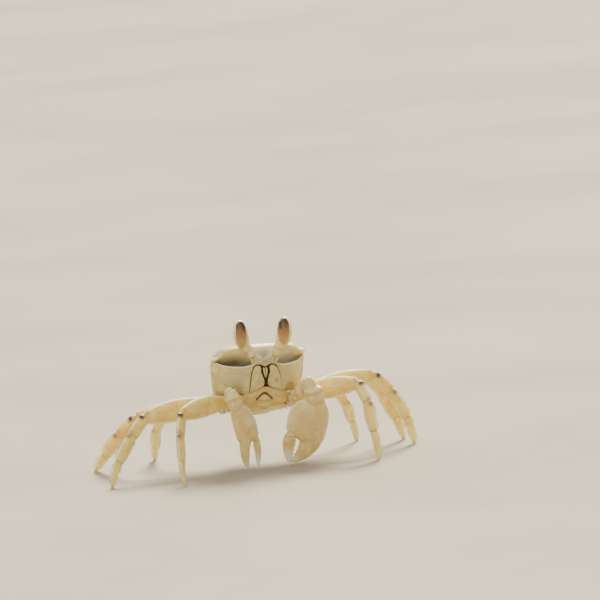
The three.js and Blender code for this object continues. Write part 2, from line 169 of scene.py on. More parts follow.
paper = Finish("studio_paper")
spot = paper.node("TexCoord", output="Object")
clouds = paper.node("TexNoise", {"Vector": spot, "Scale": 9.0, "Detail": 4.0}, "Fac")
fibres = paper.node("TexNoise", {"Vector": spot, "Scale": 2500.0, "Detail": 2.0}, "Fac")
paper.done(paper.layers("aaa292", ("a29987", clouds, 0.3, 0.7)), paper.ramp(clouds, 0.2, 0.8, 0.7, 0.8),
           paper.bump(fibres, 0.02))
floor_mesh = bpy.data.meshes.new("floor")
floor_mesh.from_pydata(SHEET, [], [(0, 1, 2, 3)])
floor_mesh.materials.append(paper.material)
added("floor", floor_mesh)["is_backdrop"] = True

world = bpy.data.worlds.new("room")
bpy.context.scene.world = world
world.use_nodes = True
world.node_tree.nodes["Background"].inputs["Color"].default_value = hue("fffaf0")
world.node_tree.nodes["Background"].inputs["Strength"].default_value = ROOM_LIGHT
for name, spot, spread, power, tint in LAMPS:
    lamp = bpy.data.lights.new(name, "SUN")
    lamp.angle, lamp.energy, lamp.color = np.radians(spread), power, hue(tint)[:3]
    away = unit(np.array(spot))
    side = unit(np.cross([0, 0, 1], away))
    added(name, lamp, (side, np.cross(away, side), away), spot)

# Shell. One box-shaped plate of thin chalky shell covers back, sides and face: low dome behind, two
# long open eye sockets across the face, a tongue of shell between the eyes, and the mouth frame.
BODY_PITCH, BODY_ROLL = np.radians(14), np.radians(3.0)
pitch = np.array([[1, 0, 0], [0, np.cos(BODY_PITCH), np.sin(BODY_PITCH)],
                  [0, -np.sin(BODY_PITCH), np.cos(BODY_PITCH)]])
roll = np.array([[np.cos(BODY_ROLL), 0, np.sin(BODY_ROLL)], [0, 1, 0],
                 [-np.sin(BODY_ROLL), 0, np.cos(BODY_ROLL)]])
posture = pitch @ roll
# Place along the profile, then height, half width, front edge, widest point and back edge there.
SHELL_ROWS = [
    [0, -9.3, 8.4, 0.2, 6.0, 13.6], [3, -9.3, 9.6, -1.4, 5.6, 14.8], [8, -9.0, 10.8, -2.5, 5.2, 15.9],
    [17, -8.2, 11.8, -3.4, 4.8, 16.9], [35, -6.2, 12.4, -4.1, 3.8, 17.7], [61, -3.6, 12.7, -4.6, 2.8, 18.1],
    [87, -1.2, 12.8, -4.5, 2.0, 18.1], [102, 0.3, 12.5, -4.2, 1.6, 17.7], [113, 1.4, 11.8, -3.9, 1.6, 17.0],
    [123, 2.25, 10.4, -3.0, 1.8, 15.8], [133, 2.8, 8.2, -1.2, 2.6, 13.6], [148, 3.1, 4.8, 1.8, 4.0, 10.6],
    [157, 3.18, 2.4, 4.0, 5.2, 8.4], [165, 3.2, 0.05, 6.2, 6.25, 6.3],
]
SHELL_AROUND = 480


def on_body(points):
    """Body millimetres to crab millimetres."""
    return np.asarray(points, float) @ posture.T + [0, 0, BODY_HEIGHT] + CENTRING


def smooth(value, low, high):
    t = np.clip((value - low) / (high - low), 0, 1)
    return t * t * (3 - 2 * t)


def hump(value, width):
    return np.exp(-(value / width) ** 2)


def through(rows, at):
    """Smooth values through rows of (place, value, ...), with no overshoot."""
    rows, at = np.asarray(rows, float), np.asarray(at, float)
    x, y = rows[:, 0], rows[:, 1:]
    slope = np.diff(y, axis=0) / np.diff(x)[:, None]
    tangent = np.vstack([slope[:1], np.zeros((len(x) - 2, y.shape[1])), slope[-1:]])
    same = slope[:-1] * slope[1:] > 0
    total = np.where(same, slope[:-1] + slope[1:], 1)
    tangent[1:-1] = np.where(same, 2 * slope[:-1] * slope[1:] / total, 0)
    flat = np.clip(at.ravel(), x[0], x[-1])
    k = np.clip(np.searchsorted(x, flat, side="right") - 1, 0, len(x) - 2)
    h = (x[k + 1] - x[k])[:, None]
    t = ((flat - x[k])[:, None]) / h
    value = ((2 * t ** 3 - 3 * t ** 2 + 1) * y[k] + (t ** 3 - 2 * t ** 2 + t) * h * tangent[k]
             + (3 * t ** 2 - 2 * t ** 3) * y[k + 1] + (t ** 3 - t ** 2) * h * tangent[k + 1])
    return value.reshape(*at.shape, -1) if y.shape[1] > 1 else value.reshape(at.shape)


def dice(*whole):
    """A repeatable random share from 0 to 1 for each set of up to four whole numbers."""
    primes = (73856093, 19349663, 83492791, 50331653)
    mixed = sum(np.asarray(n).astype(np.int64) * p for n, p in zip(whole, primes))
    mixed = (mixed ^ (mixed >> 13)) * 1274126177 & 0xFFFFFFFF
    mixed = (mixed ^ (mixed >> 16)) * 668265263 & 0xFFFFFFFF
    return ((mixed ^ (mixed >> 15)) & 0xFFFFFF) / 0xFFFFFF


def cloud(points, size, seed=0):
    """Smooth random values from -1 to 1, with patches of the given size."""
    at = np.asarray(points) / size
    low = np.floor(at)
    t = smooth(at - low, 0, 1)
    total = 0
    for step in np.ndindex(2, 2, 2):
        share = np.prod([t[..., n] if step[n] else 1 - t[..., n] for n in range(3)], axis=0)
        total = total + share * dice(*np.moveaxis(low + step, -1, 0), seed)
    return 2 * total - 1


def pebbles(points, size, seed=0):
    """Round bumps from 0 to 1, one to each cell of the given size, placed at random."""
    at = np.asarray(points) / size
    nearest = np.full(at.shape[:-1], 9.0)
    for step in np.ndindex(3, 3, 3):
        cell = np.floor(at) + step - 1
        seat = np.stack([dice(*np.moveaxis(cell, -1, 0), seed + n) for n in (1, 2, 3)], -1)
        nearest = np.minimum(nearest, np.linalg.norm(cell + 0.2 + 0.6 * seat - at, axis=-1))
    return np.clip(1 - (nearest / 0.5) ** 2, 0, 1)


def near_line(one, two, line):
    """Distance from each place (one, two) to a line through the given points."""
    nearest = np.full(np.shape(one), 99.0)
    for (a, b), (c, d) in zip(line[:-1], line[1:]):
        t = np.clip(((one - a) * (c - a) + (two - b) * (d - b)) / ((c - a) ** 2 + (d - b) ** 2), 0, 1)
        nearest = np.minimum(nearest, np.hypot(one - a - t * (c - a), two - b - t * (d - b)))
    return nearest


def outward(rings):
    """Unit directions out of a skin of rings."""
    along = np.gradient(rings, axis=0)
    around = np.roll(rings, -1, axis=1) - np.roll(rings, 1, axis=1)
    normal = np.cross(along, around)
    normal /= np.linalg.norm(normal, axis=-1, keepdims=True) + 1e-12
    from_middle = rings - rings.mean(axis=1, keepdims=True)
    return normal if (normal * from_middle).sum() > 0 else -normal


def skin(name, rings, slot, material, node=None, **marks):
    """A closed piece over rings of points in crab millimetres, with paint marks at each point."""
    count, around = rings.shape[:2]
    points = rings.reshape(-1, 3)
    here = np.arange(count * around).reshape(count, around)
    side = np.roll(here, -1, axis=1)
    faces = np.stack([here[:-1], side[:-1], side[1:], here[1:]], -1).reshape(-1, 4)
    corners = points[faces]
    volume = np.einsum("ij,ij->", corners[:, 0], np.cross(corners[:, 1], corners[:, 2]))
    volume += np.einsum("ij,ij->", corners[:, 0], np.cross(corners[:, 2], corners[:, 3]))
    flip = volume < 0
    faces = faces[:, ::-1].tolist() if flip else faces.tolist()
    values = {key: np.broadcast_to(value, rings.shape if key == "place" else (count, around))
              for key, value in marks.items()}
    values = {key: value.reshape(count * around, -1) for key, value in values.items()}
    for row, turned in ((0, flip), (-1, not flip)):
        ring = here[row]
        centre = len(points)
        points = np.vstack([points, rings[row].mean(axis=0)])
        values = {key: np.vstack([value, value[ring].mean(axis=0)]) for key, value in values.items()}
        fan = zip(ring.tolist(), np.roll(ring, -1).tolist())
        faces += [(a, b, centre) if turned else (b, a, centre) for a, b in fan]
    mesh = bpy.data.meshes.new(name)
    mesh.from_pydata((points / 1000).tolist(), [], faces)
    mesh.polygons.foreach_set("use_smooth", np.ones(len(faces), bool))
    for key, value in values.items():
        kind, field = ("FLOAT_VECTOR", "vector") if key == "place" else ("FLOAT", "value")
        mesh.attributes.new(key, kind, "POINT").data.foreach_set(field, value.astype(np.float32).ravel())
    mesh.materials.append(material)
    piece = added(name, mesh)
    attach(piece, "root")
    if node:
        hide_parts(node)


def outline(height, half, front, middle, rear, drop=0.0, count=SHELL_AROUND, face_share=2.4):
    """One level outline of the body, with its points closer together across the face."""
    angle = np.linspace(np.pi / 2, 2.5 * np.pi, 1441)
    facing = np.sin(angle) < 0
    power = np.where(facing, 4.6 - 2.1 * smooth(-height, 1.0, 5.0), 3.0)
    across, deep = (np.sign(f(angle)) * np.abs(f(angle)) ** (2 / power) for f in (np.cos, np.sin))
    x, y = half * across, middle + np.where(facing, middle - front, rear - middle) * deep
    x, y = x * (1 - 0.027 * np.maximum(y - middle, 0)), y + 3.7 * (x / 13) ** 2 * smooth(middle - y, 0, 5)
    step = np.hypot(np.diff(x), np.diff(y)) * (1 + (face_share - 1) * smooth(-y[1:], -2.0, 0.0)) + 1e-9
    run = np.concatenate([[0], np.cumsum(step)])
    at = np.linspace(0, run[-1], count, endpoint=False)
    x, y = np.interp(at, run, x), np.interp(at, run, y)
    dropped = 1.8 * smooth(-y, -0.6, 1.2) * (1 - smooth(np.abs(x), 4.8, 7.2))
    return np.stack([x, y, height - drop * dropped], -1)


rows = through(SHELL_ROWS, np.arange(SHELL_ROWS[-1][0] + 1))
shell = np.array([outline(*row, drop=smooth(-row[0], 3.6, 9.0)) for row in rows])
facing = outward(shell)
x, y, z = shell[..., 0], shell[..., 1], shell[..., 2]
a = np.abs(x)
on_left, on_right = x > 0, x < 0
face = smooth(-facing[..., 1], 0.12, 0.45) * smooth(2.6 - y, 0, 1.5)
dorsal = smooth(facing[..., 2], 0.35, 0.8)

# Eye sockets: deepest just above a straight lower rim, with a back wall that leans out to the brow.
lower = through([[2.9, -2.4], [3.4, -2.9], [4.4, -3.2], [5.6, -3.35], [8, -3.0], [10.3, -2.25], [11.9, -1.1],
                 [12.8, -0.3]], a)
brow = through([[2.9, -0.6], [3.6, 0.3], [4.6, 1.1], [6, 1.75], [8, 1.7], [9.8, 1.1], [11.2, 0.3],
                [12.2, -0.4], [13, -0.5]], a)
socket_up = np.clip((z - lower) / np.maximum(brow - lower, 0.3), 0, 1)
ends = np.clip(1 - (np.abs(a - 7.6) / 4.7) ** 3, 0, 1) ** 0.7 * face
hollow = smooth(socket_up, 0, 0.16) * (1 - smooth(socket_up, 0.1, 1.0)) ** 0.8 * ends
rims = np.maximum(hump(z - lower + 0.14, 0.18), 0.35 * hump(z - brow - 0.25, 0.4)) * smooth(ends, 0, 0.3)
push = -3.0 * hollow + 0.2 * rims * (0.9 + 0.1 * np.sin(a * 14))
push -= 0.9 * hump(a - 3.6, 0.7) * hump(z - 0.4, 1.2) * face

# Tongue of the front, bent down between the eyes, with a raised edge and a scooped middle.
tongue_half = through([[-2.2, 0.0], [-1.9, 1.1], [-1.5, 1.8], [-0.8, 2.3], [0.2, 2.7], [1.2, 2.85],
                       [2.4, 2.9]], z)
tongue = smooth(tongue_half - a, -0.05, 0.3) * smooth(z, -2.2, -1.85) * face
scoop_half = through([[-1.7, 0.0], [-1.3, 0.7], [-0.4, 1.35], [0.5, 1.7], [0.9, 1.1], [1.1, 0.0]], z)
above_tip = smooth(z, -2.2, -1.8) * face
push += tongue * (0.55 - 0.42 * smooth(scoop_half - a, -0.35, 0.5))
push += 0.14 * hump(tongue_half - a - 0.3, 0.2) * above_tip

# Mouth frame: two arches side by side, sunk behind a thin lip, and full cheeks beside it. The frame
# is sunk deepest below the doors, behind the lip of the chest.
frame_half = through([[-12.6, 4.9], [-10.2, 4.8], [-7.6, 4.4], [-5.6, 4.05], [-4.6, 3.75], [-4, 3.5]], z)
frame_top = through([[0, -3.6], [0.5, -3.4], [1.2, -3.05], [2.0, -2.9], [2.8, -3.15], [3.4, -3.7],
                     [3.9, -5.0], [4.4, -8.0], [4.9, -13]], a)
within = np.minimum(frame_half - a, frame_top - z)
# Painted shade: the inside of the sunk mouth frame, seen round the plates, is painted near-black brown.
gape = smooth(within, -0.05, 0.2) * face
sunk = (1.0 + 1.8 * smooth(-z, 8.1, 9.0)) * smooth(within, 0, 0.35)
push += (0.12 * hump(within + 0.18, 0.2) - sunk + 0.35 * hump(a - 8.6, 3.0) * hump(z + 5.8, 2.4)) * face
crease = near_line(a, z, [(12.7, -3.2), (11.6, -5.6), (9.6, -7.3), (7.0, -8.3), (5.2, -8.9)])
cheek_fold = near_line(a, z, [(5.0, -4.8), (7.0, -5.0), (9.5, -4.4), (11.5, -3.4)])
feeler_pit = near_line(a, z, [(2.7, -2.0), (3.3, -2.7), (4.2, -3.9)])
push -= (0.14 * hump(crease, 0.16) + 0.06 * hump(cheek_fold, 0.22) + 0.15 * hump(feeler_pit, 0.18)) * face
shell = shell + np.stack([0 * push, -push, 0 * push], -1)

# Corner teeth, the beaded side crest, grooves between the regions of the back, and fine grain. The
# right corner is blunter and hangs lower.
corner = hump(a - 12.4, 0.75) * hump(z - 0.5, 0.75) * smooth(3.5 - y, 0, 3) * np.where(on_right, 0.6, 1)
low_brow = np.where(on_right, 1.1, 0.2)
shell[..., 2] -= low_brow * smooth(a, 9.5, 12.6) * smooth(z, -1.5, 1.0) * smooth(6 - y, 0, 4)
shell = shell + np.stack([0.45 * np.sign(x) * corner, -1.25 * corner, 0.2 * corner], -1)
flank = smooth(np.abs(facing[..., 0]), 0.3, 0.7) * smooth(y, -1.5, 0.5) * (1 - smooth(y, 13, 17))
crest = hump(z - 0.75 + 0.06 * y, 0.28) * flank
grooves = np.minimum.reduce([
    near_line(a, y, [(0, 9.3), (1.4, 9.0), (2.9, 8.3)]),
    near_line(a, y, [(4.6, 4.2), (3.3, 6.0), (2.8, 8.3), (3.4, 10.6), (4.2, 13.0)]),
    near_line(a, y, [(4.6, 4.2), (6.4, 3.4), (8.2, 3.8)]),
    near_line(a, y, [(0.0, 1.8), (0.9, 2.6), (1.3, 3.8)]) + 0.15,
])
swell = 0.22 * hump(a - 7.6, 3.0) * hump(y - 9.5, 4.0) + 0.18 * hump(x, 2.2) * hump(y - 5.5, 2.4)
swell += 0.14 * hump(x, 2.0) * hump(y - 12.5, 2.2)
raised = dorsal * (swell - 0.34 * hump(grooves, 0.5)) + 0.3 * crest * (0.6 + 0.4 * np.sin(y * 8.5))
raised += 0.045 * pebbles(shell, 0.62, 5) * (0.25 + 0.75 * smooth(a, 5, 11)) * np.clip(dorsal + flank, 0, 1)
raised += 0.03 * cloud(shell, 1.6, 2)
shell = shell + facing * raised[..., None]

chitin = dict(Subsurface_Weight=0.5, Subsurface_Radius=(1.0, 0.88, 0.4), Subsurface_Scale=0.0012,
              Specular_IOR_Level=0.45, Coat_Weight=0.12, Coat_Roughness=0.35)
shell_paint = Finish("shell_paint", **chitin)
patches = shell_paint.noise(3.2, 5, 0.6, warp=0.8)
sand = shell_paint.noise(0.42, 4, 0.7)
mottled = shell_paint.layers("dccca0", ("ac9c76", patches, 0.42, 0.68), ("80704f", sand, 0.56, 0.72, 0, 0.75),
                             ("efe6cf", shell_paint.cells(0.62), 0.28, 0.1, 0, 0.6))
# Socket paint: dark olive low in each socket, grading to pale yellow up to the brow, is partly pigment and
# partly painted shade in the hollow. The shade layer is painted shade in the crab's right socket.
socket_paint_and_shade = shell_paint.layers("6d6849", ("b5a673", "socket_up", 0.1, 0.5), ("ecd893", "socket_up", 0.45, 0.95),
                          ("5e5a42", "shade"), ("b3b4b4", "cool"), ("d9ae93", "flush"))
blotch = shell_paint.ramp(shell_paint.noise(0.8, 3), 0.3, 0.65, 0.65, 1.0)
specks = shell_paint.ramp(shell_paint.cells(0.9), 0.16, 0.05, 0, 0.5)
colour = shell_paint.layers(
    # b3a684 over the face is painted shade.
    "e8d99a", ("d5c47e", shell_paint.noise(2.4), 0.35, 0.7), ("b3a684", "dusk"),
    # faf4dc on the rims is partly paler shell and partly painted rim light and highlight.
    ("faf4dc", "rim", 0.15, 0.9, 0, 0.8), (mottled, "dorsal"), (socket_paint_and_shade, "socket"),
    ("949ea4", shell_paint.math("MULTIPLY", blotch, shell_paint.mark("tongue_blue"))),
    # 3a2410 is painted shade inside the sunk mouth frame.
    ("7a684a", "line"), ("3a2410", "gape"),
    ("8f7f5e", shell_paint.math("MULTIPLY", specks, shell_paint.mark("specked"))),
)
fine = shell_paint.math("ADD", shell_paint.noise(0.18, 3), shell_paint.cells(0.28))
shell_paint.done(colour, shell_paint.ramp(patches, 0.2, 0.8, 0.34, 0.5), shell_paint.bump(fine, 0.035))

# Pale rims: the socket rims, corner teeth, side crest and tongue's edge are painted paler, partly as paler
# shell and partly as painted rim light. The top of the brow and the outer cheeks are painted highlight and
# rim light.
tongue_rim = 0.8 * hump(tongue_half - a - 0.2, 0.3) * above_tip
brow_highlight = smooth(z, 0.1, 0.9) * (1 - smooth(a, 2.5, 4.5)) * smooth(1 - y, 0, 2)
cheek_rim_light = 0.75 * smooth(a, 10.6, 12.4) * smooth(-z, 1.5, 3.0) * smooth(4 - y, 0, 4)
lines = 0.35 * hump(crease, 0.12) + 0.35 * hump(feeler_pit, 0.12) + 0.5 * hump(grooves, 0.35) * dorsal
skin(
    "shell", on_body(shell), "shell", shell_paint.material, "carapace", place=shell, gape=gape,
    rim=np.clip(rims + corner + crest + tongue_rim + brow_highlight + cheek_rim_light, 0, 1),
    # Painted shade: the middles of the cheeks and a band under the eyes are painted darker.
    dusk=(0.5 * hump(a - 6.8, 3.2) * hump(z + 6.2, 2.8) + 0.4 * hump(a, 4.6) * hump(z + 2.2, 1.0)) * face,
    dorsal=0.9 * dorsal * smooth(y, -3.5, 1.0), socket=smooth(hollow, 0.02, 0.4),
    # Painted shade: the left socket is painted lighter and the right one darker.
    socket_up=np.clip(socket_up + 0.3 * on_left, 0, 1),
    shade=0.7 * on_right * hump(a - 7.2, 2.2) * hump(z + 1.6, 1.1),
    cool=0.75 * on_left * hump(a - 7.4, 1.7) * hump(z + 1.5, 1.0),
    flush=0.7 * on_left * hump(a - 8.8, 0.9) * hump(z + 0.3, 0.7),
    tongue_blue=0.95 * hump(x, 0.85 + 0.35 * smooth(z, -1.4, 0.2)) * hump(z + 0.6, 0.85) * face,
    line=np.clip(lines, 0, 1) * (1 - gape),
    specked=face * (smooth(-z, 7.5, 9.5) + 0.8 * hump(a - 3, 1.0) * hump(z + 1.2, 1.5)),
)

# Mouth. Two long plates close the mouth frame like doors, with a thin sliver of each jaw foot
# between their upper ends. They are smooth thin shell, hinged above in dark brown skin.
SIDES = (("right", -1), ("left", 1))
PLATE = [(1.15, -3.7), (1.5, -3.35), (2.1, -3.22), (2.75, -3.5), (3.25, -4.1), (3.65, -5.0), (4.0, -6.4),
         (4.25, -8.0), (4.5, -9.9), (3.7, -9.85), (2.4, -9.45), (1.3, -9.05), (0.7, -8.6), (0.46, -7.9),
         (0.52, -7.0), (0.82, -6.1), (1.14, -5.2), (1.22, -4.4)]
SLIVER = [(0.14, -3.9), (0.5, -3.85), (0.62, -4.4), (0.5, -5.3), (0.3, -6.1), (0.1, -6.6), (0.07, -5.8),
          (0.09, -4.7)]
MOUTH_DEPTH = [[-11.2, -1.7], [-10.5, -2.5], [-9.5, -3.2], [-7, -4.0], [-5, -4.35], [-3.6, -4.5], [-3, -4.55]]


def closed(line, count):
    """Points evenly round a smooth closed line."""
    line = np.array(line, float)
    step = np.linspace(0, 1, 12, endpoint=False)[:, None]
    a, b, c, d = (np.roll(line, shift, axis=0)[:, None] for shift in (1, 0, -1, -2))
    curve = (0.5 * (2 * b + (c - a) * step + (2 * a - 5 * b + 4 * c - d) * step ** 2
                    + (3 * b - a - 3 * c + d) * step ** 3)).reshape(-1, line.shape[1])
    curve = np.vstack([curve, curve[:1]])
    run = np.concatenate([[0], np.cumsum(np.linalg.norm(np.diff(curve, axis=0), axis=1))])
    at = np.linspace(0, run[-1], count, endpoint=False)
    return np.stack([np.interp(at, run, curve[:, k]) for k in range(line.shape[1])], -1)


def filled(line, middle, around, steps, power, tuck):
    """Rings from a middle out to a closed line, the last one tucked in behind its rim."""
    edge = closed(line, around)
    scale = np.concatenate([1 - (1 - np.linspace(0, 1, steps)) ** power, [1.0, tuck]])[:, None]
    scale[0] = 0.01
    return middle[0] + scale * (edge[:, 0] - middle[0]), middle[1] + scale * (edge[:, 1] - middle[1]), scale


def chalk(name, pale, deep, size, pores, rough, depth, *rows, **shader):
    """Thin chalky shell: two close tints in soft clouds, with finer clouds, pores and a low gloss,
    under layers of its own."""
    paint = Finish(name, **{**chitin, **shader})
    broad = paint.noise(size, 4, 0.6, warp=0.7)
    fine = paint.noise(pores * 2.2, 4, 0.7)
    colour = paint.layers(pale, (deep, broad, 0.3, 0.72), (deep, fine, 0.5, 0.75, 0, 0.6), *rows)
    height = paint.math("ADD", paint.noise(pores, 3), paint.cells(pores * 1.6))
    return paint.done(colour, paint.ramp(broad, 0.2, 0.8, *rough), paint.bump(height, depth))


mouth_skin = chalk("mouth_paint", "e4d294", "cfb872", 2.0, 0.16, (0.32, 0.45), 0.02, ("a9744c", "blush"),
                   ("4a3019", "line"))
for word, side in SIDES:
    for name, line, middle, crown, rise in (("mouth_plate_", PLATE, (2.3, -7.0), 0.3, 0.0),
                                            ("mouth_sliver_", SLIVER, (0.4, -5.2), 0.1, 0.22)):
        door = name == "mouth_plate_"
        px, pz, scale = filled(line, middle, around=150, steps=34, power=1.7, tuck=0.9)
        groove = hump(near_line(px, pz, [(1.0, -5.3), (2.4, -5.0), (3.9, -5.7)]), 0.13)
        groove += 0.6 * hump(near_line(px, pz, [(1.5, -5.8), (1.15, -7.4), (1.3, -9.0)]), 0.13)
        groove *= door
        py = through(MOUTH_DEPTH, pz) + rise - crown * (1 - scale ** 2) + 0.28 * smooth(scale, 0.86, 1.0) ** 2
        py += 0.07 * groove
        py[-2:] += 1.0
        uneven = 1 + 0.3 * cloud(np.stack([px, py, pz], -1), 0.4)
        spot = 0.9 * hump(np.hypot(px - 2.7, pz + 7.4) / uneven, 0.42) * (door and side > 0)
        rings = np.stack([side * px, py, pz], -1)
        skin(name + word, on_body(rings), "shell", mouth_skin, f"maxilliped_{word}" if door else None,
             place=rings + [7 * side, 3, 0], blush=spot + 0.12 * groove,
             line=np.clip(0.75 * smooth(scale, 0.93, 1.0) + 0.18 * groove, 0, 1))

# Feelers. Two short pairs of jointed feelers sit in pits under the brow: the inner pair folded
# beneath the tongue, the outer pair with a fine whip along the socket. Thin translucent shell.
INNER_FEELER = [(0.55, -4.75, -2.15, 0.22, 0.2), (1.1, -4.85, -2.3, 0.3, 0.26), (1.7, -4.8, -2.2, 0.3, 0.26),
                (2.1, -4.6, -1.95, 0.16, 0.15)]
OUTER_FEELER = [(3.1, -3.9, -2.5, 0.34, 0.3), (3.35, -4.35, -2.2, 0.36, 0.32),
                (3.55, -4.55, -1.8, 0.28, 0.26), (3.75, -4.6, -1.45, 0.14, 0.13),
                (4.2, -4.55, -1.1, 0.09, 0.09), (5.0, -4.35, -0.9, 0.05, 0.05)]
FEELER_RINGS = 60


def squared(around, power):
    """Angles round a ring, with their cosines and sines squared off by a power over 2."""
    angle = np.linspace(0, 2 * np.pi, around, endpoint=False)
    return (angle, *(np.sign(f(angle)) * np.abs(f(angle)) ** (2 / power) for f in (np.cos, np.sin)))


def swept(path, upright, count, around, power=2.0):
    """Rings along a smooth path whose rows are x, y, z, half width and half depth."""
    path = np.array(path, float)
    run = np.concatenate([[0], np.cumsum(np.linalg.norm(np.diff(path[:, :3], axis=0), axis=1))])
    rows = through(np.column_stack([run, path]), np.linspace(0, run[-1], count))
    axis = unit(np.gradient(rows[:, :3], axis=0))
    wide = unit(np.cross(axis, upright))
    deep = np.cross(wide, axis)
    angle, one, two = squared(around, power)
    return (rows[:, None, :3] + wide[:, None] * (rows[:, 3, None] * one)[..., None]
            + deep[:, None] * (rows[:, 4, None] * two)[..., None]), rows


def resized(rings, rows, size):
    """Rings grown or shrunk about their path."""
    return rows[:, None, :3] + (rings - rows[:, None, :3]) * size[:, None, None]


feeler_skin = chalk("feeler_paint", "e9dfb8", "c2ab7c", 0.8, 0.1, (0.3, 0.45), 0.01)
beads = 1 + 0.12 * np.sin(44 * np.arange(FEELER_RINGS) / FEELER_RINGS)
for word, side in SIDES:
    for name, path in (("inner_feeler_", INNER_FEELER), ("outer_feeler_", OUTER_FEELER)):
        rings, rows = swept([(side * px, *rest) for px, *rest in path], (0, 1, 0), FEELER_RINGS, 16)
        rings = resized(rings, rows, beads)
        skin(name + word, on_body(rings), "shell", feeler_skin, place=rings + [side * 9, 0, 0])

# Eyes. Each tall eye is a brown horny lens on the outer front of a bent stalk. The stalk is clear
# pale shell that swells into a cup behind the lens and turns in a soft joint beside the tongue.
STALK = [(3.3, -4.1, -0.9, 0.8, 0.8), (3.45, -4.25, 0.0, 1.0, 0.9), (3.8, -4.2, 0.8, 1.1, 0.9),
         (4.4, -4.2, 1.5, 1.3, 1.0), (4.95, -4.25, 2.2, 1.65, 1.2), (5.4, -4.5, 3.2, 1.95, 1.4),
         (5.75, -4.85, 4.5, 2.08, 1.5), (5.95, -5.2, 5.9, 2.04, 1.5), (6.05, -5.5, 7.1, 1.72, 1.3),
         (6.1, -5.7, 8.0, 1.2, 1.0), (6.12, -5.82, 8.5, 0.7, 0.6), (6.13, -5.86, 8.75, 0.05, 0.05)]
# Each side's own: how far the cup leans out, the lens's place and half size, and where its slit is.
EYES = {
    "right": (0.0, (-6.0, -5.5, 4.95), (1.58, 1.4, 3.6), 0.4),
    "left": (0.3, (5.75, -5.5, 4.95), (1.68, 1.4, 3.6), 0.65),
}
LENS_OUT, LENS_FORWARD = np.radians(3), np.radians(14)

stalk_skin = chalk("stalk_paint", "f0e4a6", "dcca7c", 1.5, 0.14, (0.28, 0.4), 0.015,
                   ("f6f1dc", "up", 2.5, 7.0), ("a08a5a", "line"), Subsurface_Weight=0.8,
                   Subsurface_Scale=0.0022)
eye_paint = Finish("eye_paint", Subsurface_Weight=0.25, Subsurface_Radius=(1.0, 0.5, 0.25),
                   Subsurface_Scale=0.0007, Coat_Weight=0.45, Coat_Roughness=0.15, Specular_IOR_Level=0.5)
colour = eye_paint.layers("d0a862", ("9a6c35", "up", -0.8, 0.3), ("4a2f18", "up", 0.15, 0.85),
                          # d9b67c off the front is partly pale tissue and partly a painted glow.
                          ("d9b67c", "edge"), ("6b4526", eye_paint.noise(0.22, 3, 0.7), 0.35, 0.7, 0, 0.3),
                          ("1d120a", "slit"))
eye_paint.done(colour, eye_paint.ramp(eye_paint.mark("up"), -1, 1, 0.3, 0.22),
               eye_paint.bump(eye_paint.cells(0.07), 0.004))
level = np.linspace(0.004, np.pi - 0.004, 90)[:, None]
angle = np.linspace(0, 2 * np.pi, 96, endpoint=False)
girth = np.sin(level) ** 0.92 * (1 + 0.06 * np.cos(level))
ball = np.stack([girth * np.cos(angle), girth * np.sin(angle), np.cos(level) + 0 * angle], -1)
for word, side in SIDES:
    lean, centre, half, slit_at = EYES[word]
    path = [(side * (px + lean * (pz > 2)), py, pz, w, d) for px, py, pz, w, d in STALK]
    rings, rows = swept(path, (0, 1, 0), 110, 72)
    knuckle = hump(rows[:, 2] - 0.75, 0.18) + 0.6 * hump(rows[:, 2] - 2.2, 0.2)
    rings = resized(rings, rows, 1 - 0.07 * knuckle)
    rings += outward(rings) * (0.02 * cloud(rings, 0.7, 11))[..., None]
    skin("eyestalk_" + word, on_body(rings), "stalk", stalk_skin, "eyestalk_" + word,
         place=rings + [side * 5, 0, 0], up=rings[..., 2], line=0.35 * knuckle[:, None])
    lift = unit(np.array([side * np.sin(LENS_OUT), -np.sin(LENS_FORWARD), np.cos(LENS_FORWARD)]))
    over = unit(np.cross([0, 1, 0], lift))
    rings = centre + (ball * half) @ np.array([over, np.cross(lift, over), lift])
    up = ball[..., 2]
    slit = hump(-side * ball[..., 0] - slit_at, 0.16) * smooth(up, 0.12, 0.3) * (1 - smooth(up, 0.6, 0.78))
    forward = -ball[..., 1]
    # The edge mark paints the eye's sides and back paler: partly pale tissue beyond the lens, partly a
    # painted glow of light through the lens's rim.
    skin("eye_" + word, on_body(rings), "eye", eye_paint.material, "eye_" + word, place=rings, up=up,
         slit=0.96 * slit * smooth(forward, 0.1, 0.4), edge=0.75 * (1 - smooth(forward, -0.1, 0.42)))

# Chest and belly flap. Under the body the chest is one thick straw-coloured plate with a seam
# between each pair of legs; the narrow belly flap comes round from behind and folds over it.
# Place along the chest's profile, then height, half width, front and back edge, and dip of the front.
CHEST_ROWS = [[0, -9.6, 5.9, 0.6, 12.6, 1.0], [5, -10.1, 6.2, -0.9, 15.4, 1.0],
              [24, -11.8, 6.5, -1.0, 14.2, 0.15], [31, -13.0, 6.9, -0.9, 12.9, 0.0],
              [38, -13.7, 6.7, -0.4, 12.2, 0.0], [44, -13.9, 6.1, 0.3, 11.2, 0.0]]
CHEST_WIDEST = 4.0
SEAMS_Y = (-0.7, 2.5, 5.7, 8.9)
LIP = [(0, -8.7), (0.7, -8.8), (1.4, -9.1), (2.6, -9.5), (3.8, -9.8), (5.3, -10.1), (6.3, -10.9),
       (6.5, -11.9), (5.4, -12.9), (3.0, -13.3), (0, -13.4)]
LIP_DEPTH = [[-13.4, 0.1], [-12.6, -0.9], [-11.6, -1.75], [-10.4, -2.3], [-9.4, -2.75], [-8.6, -2.6]]
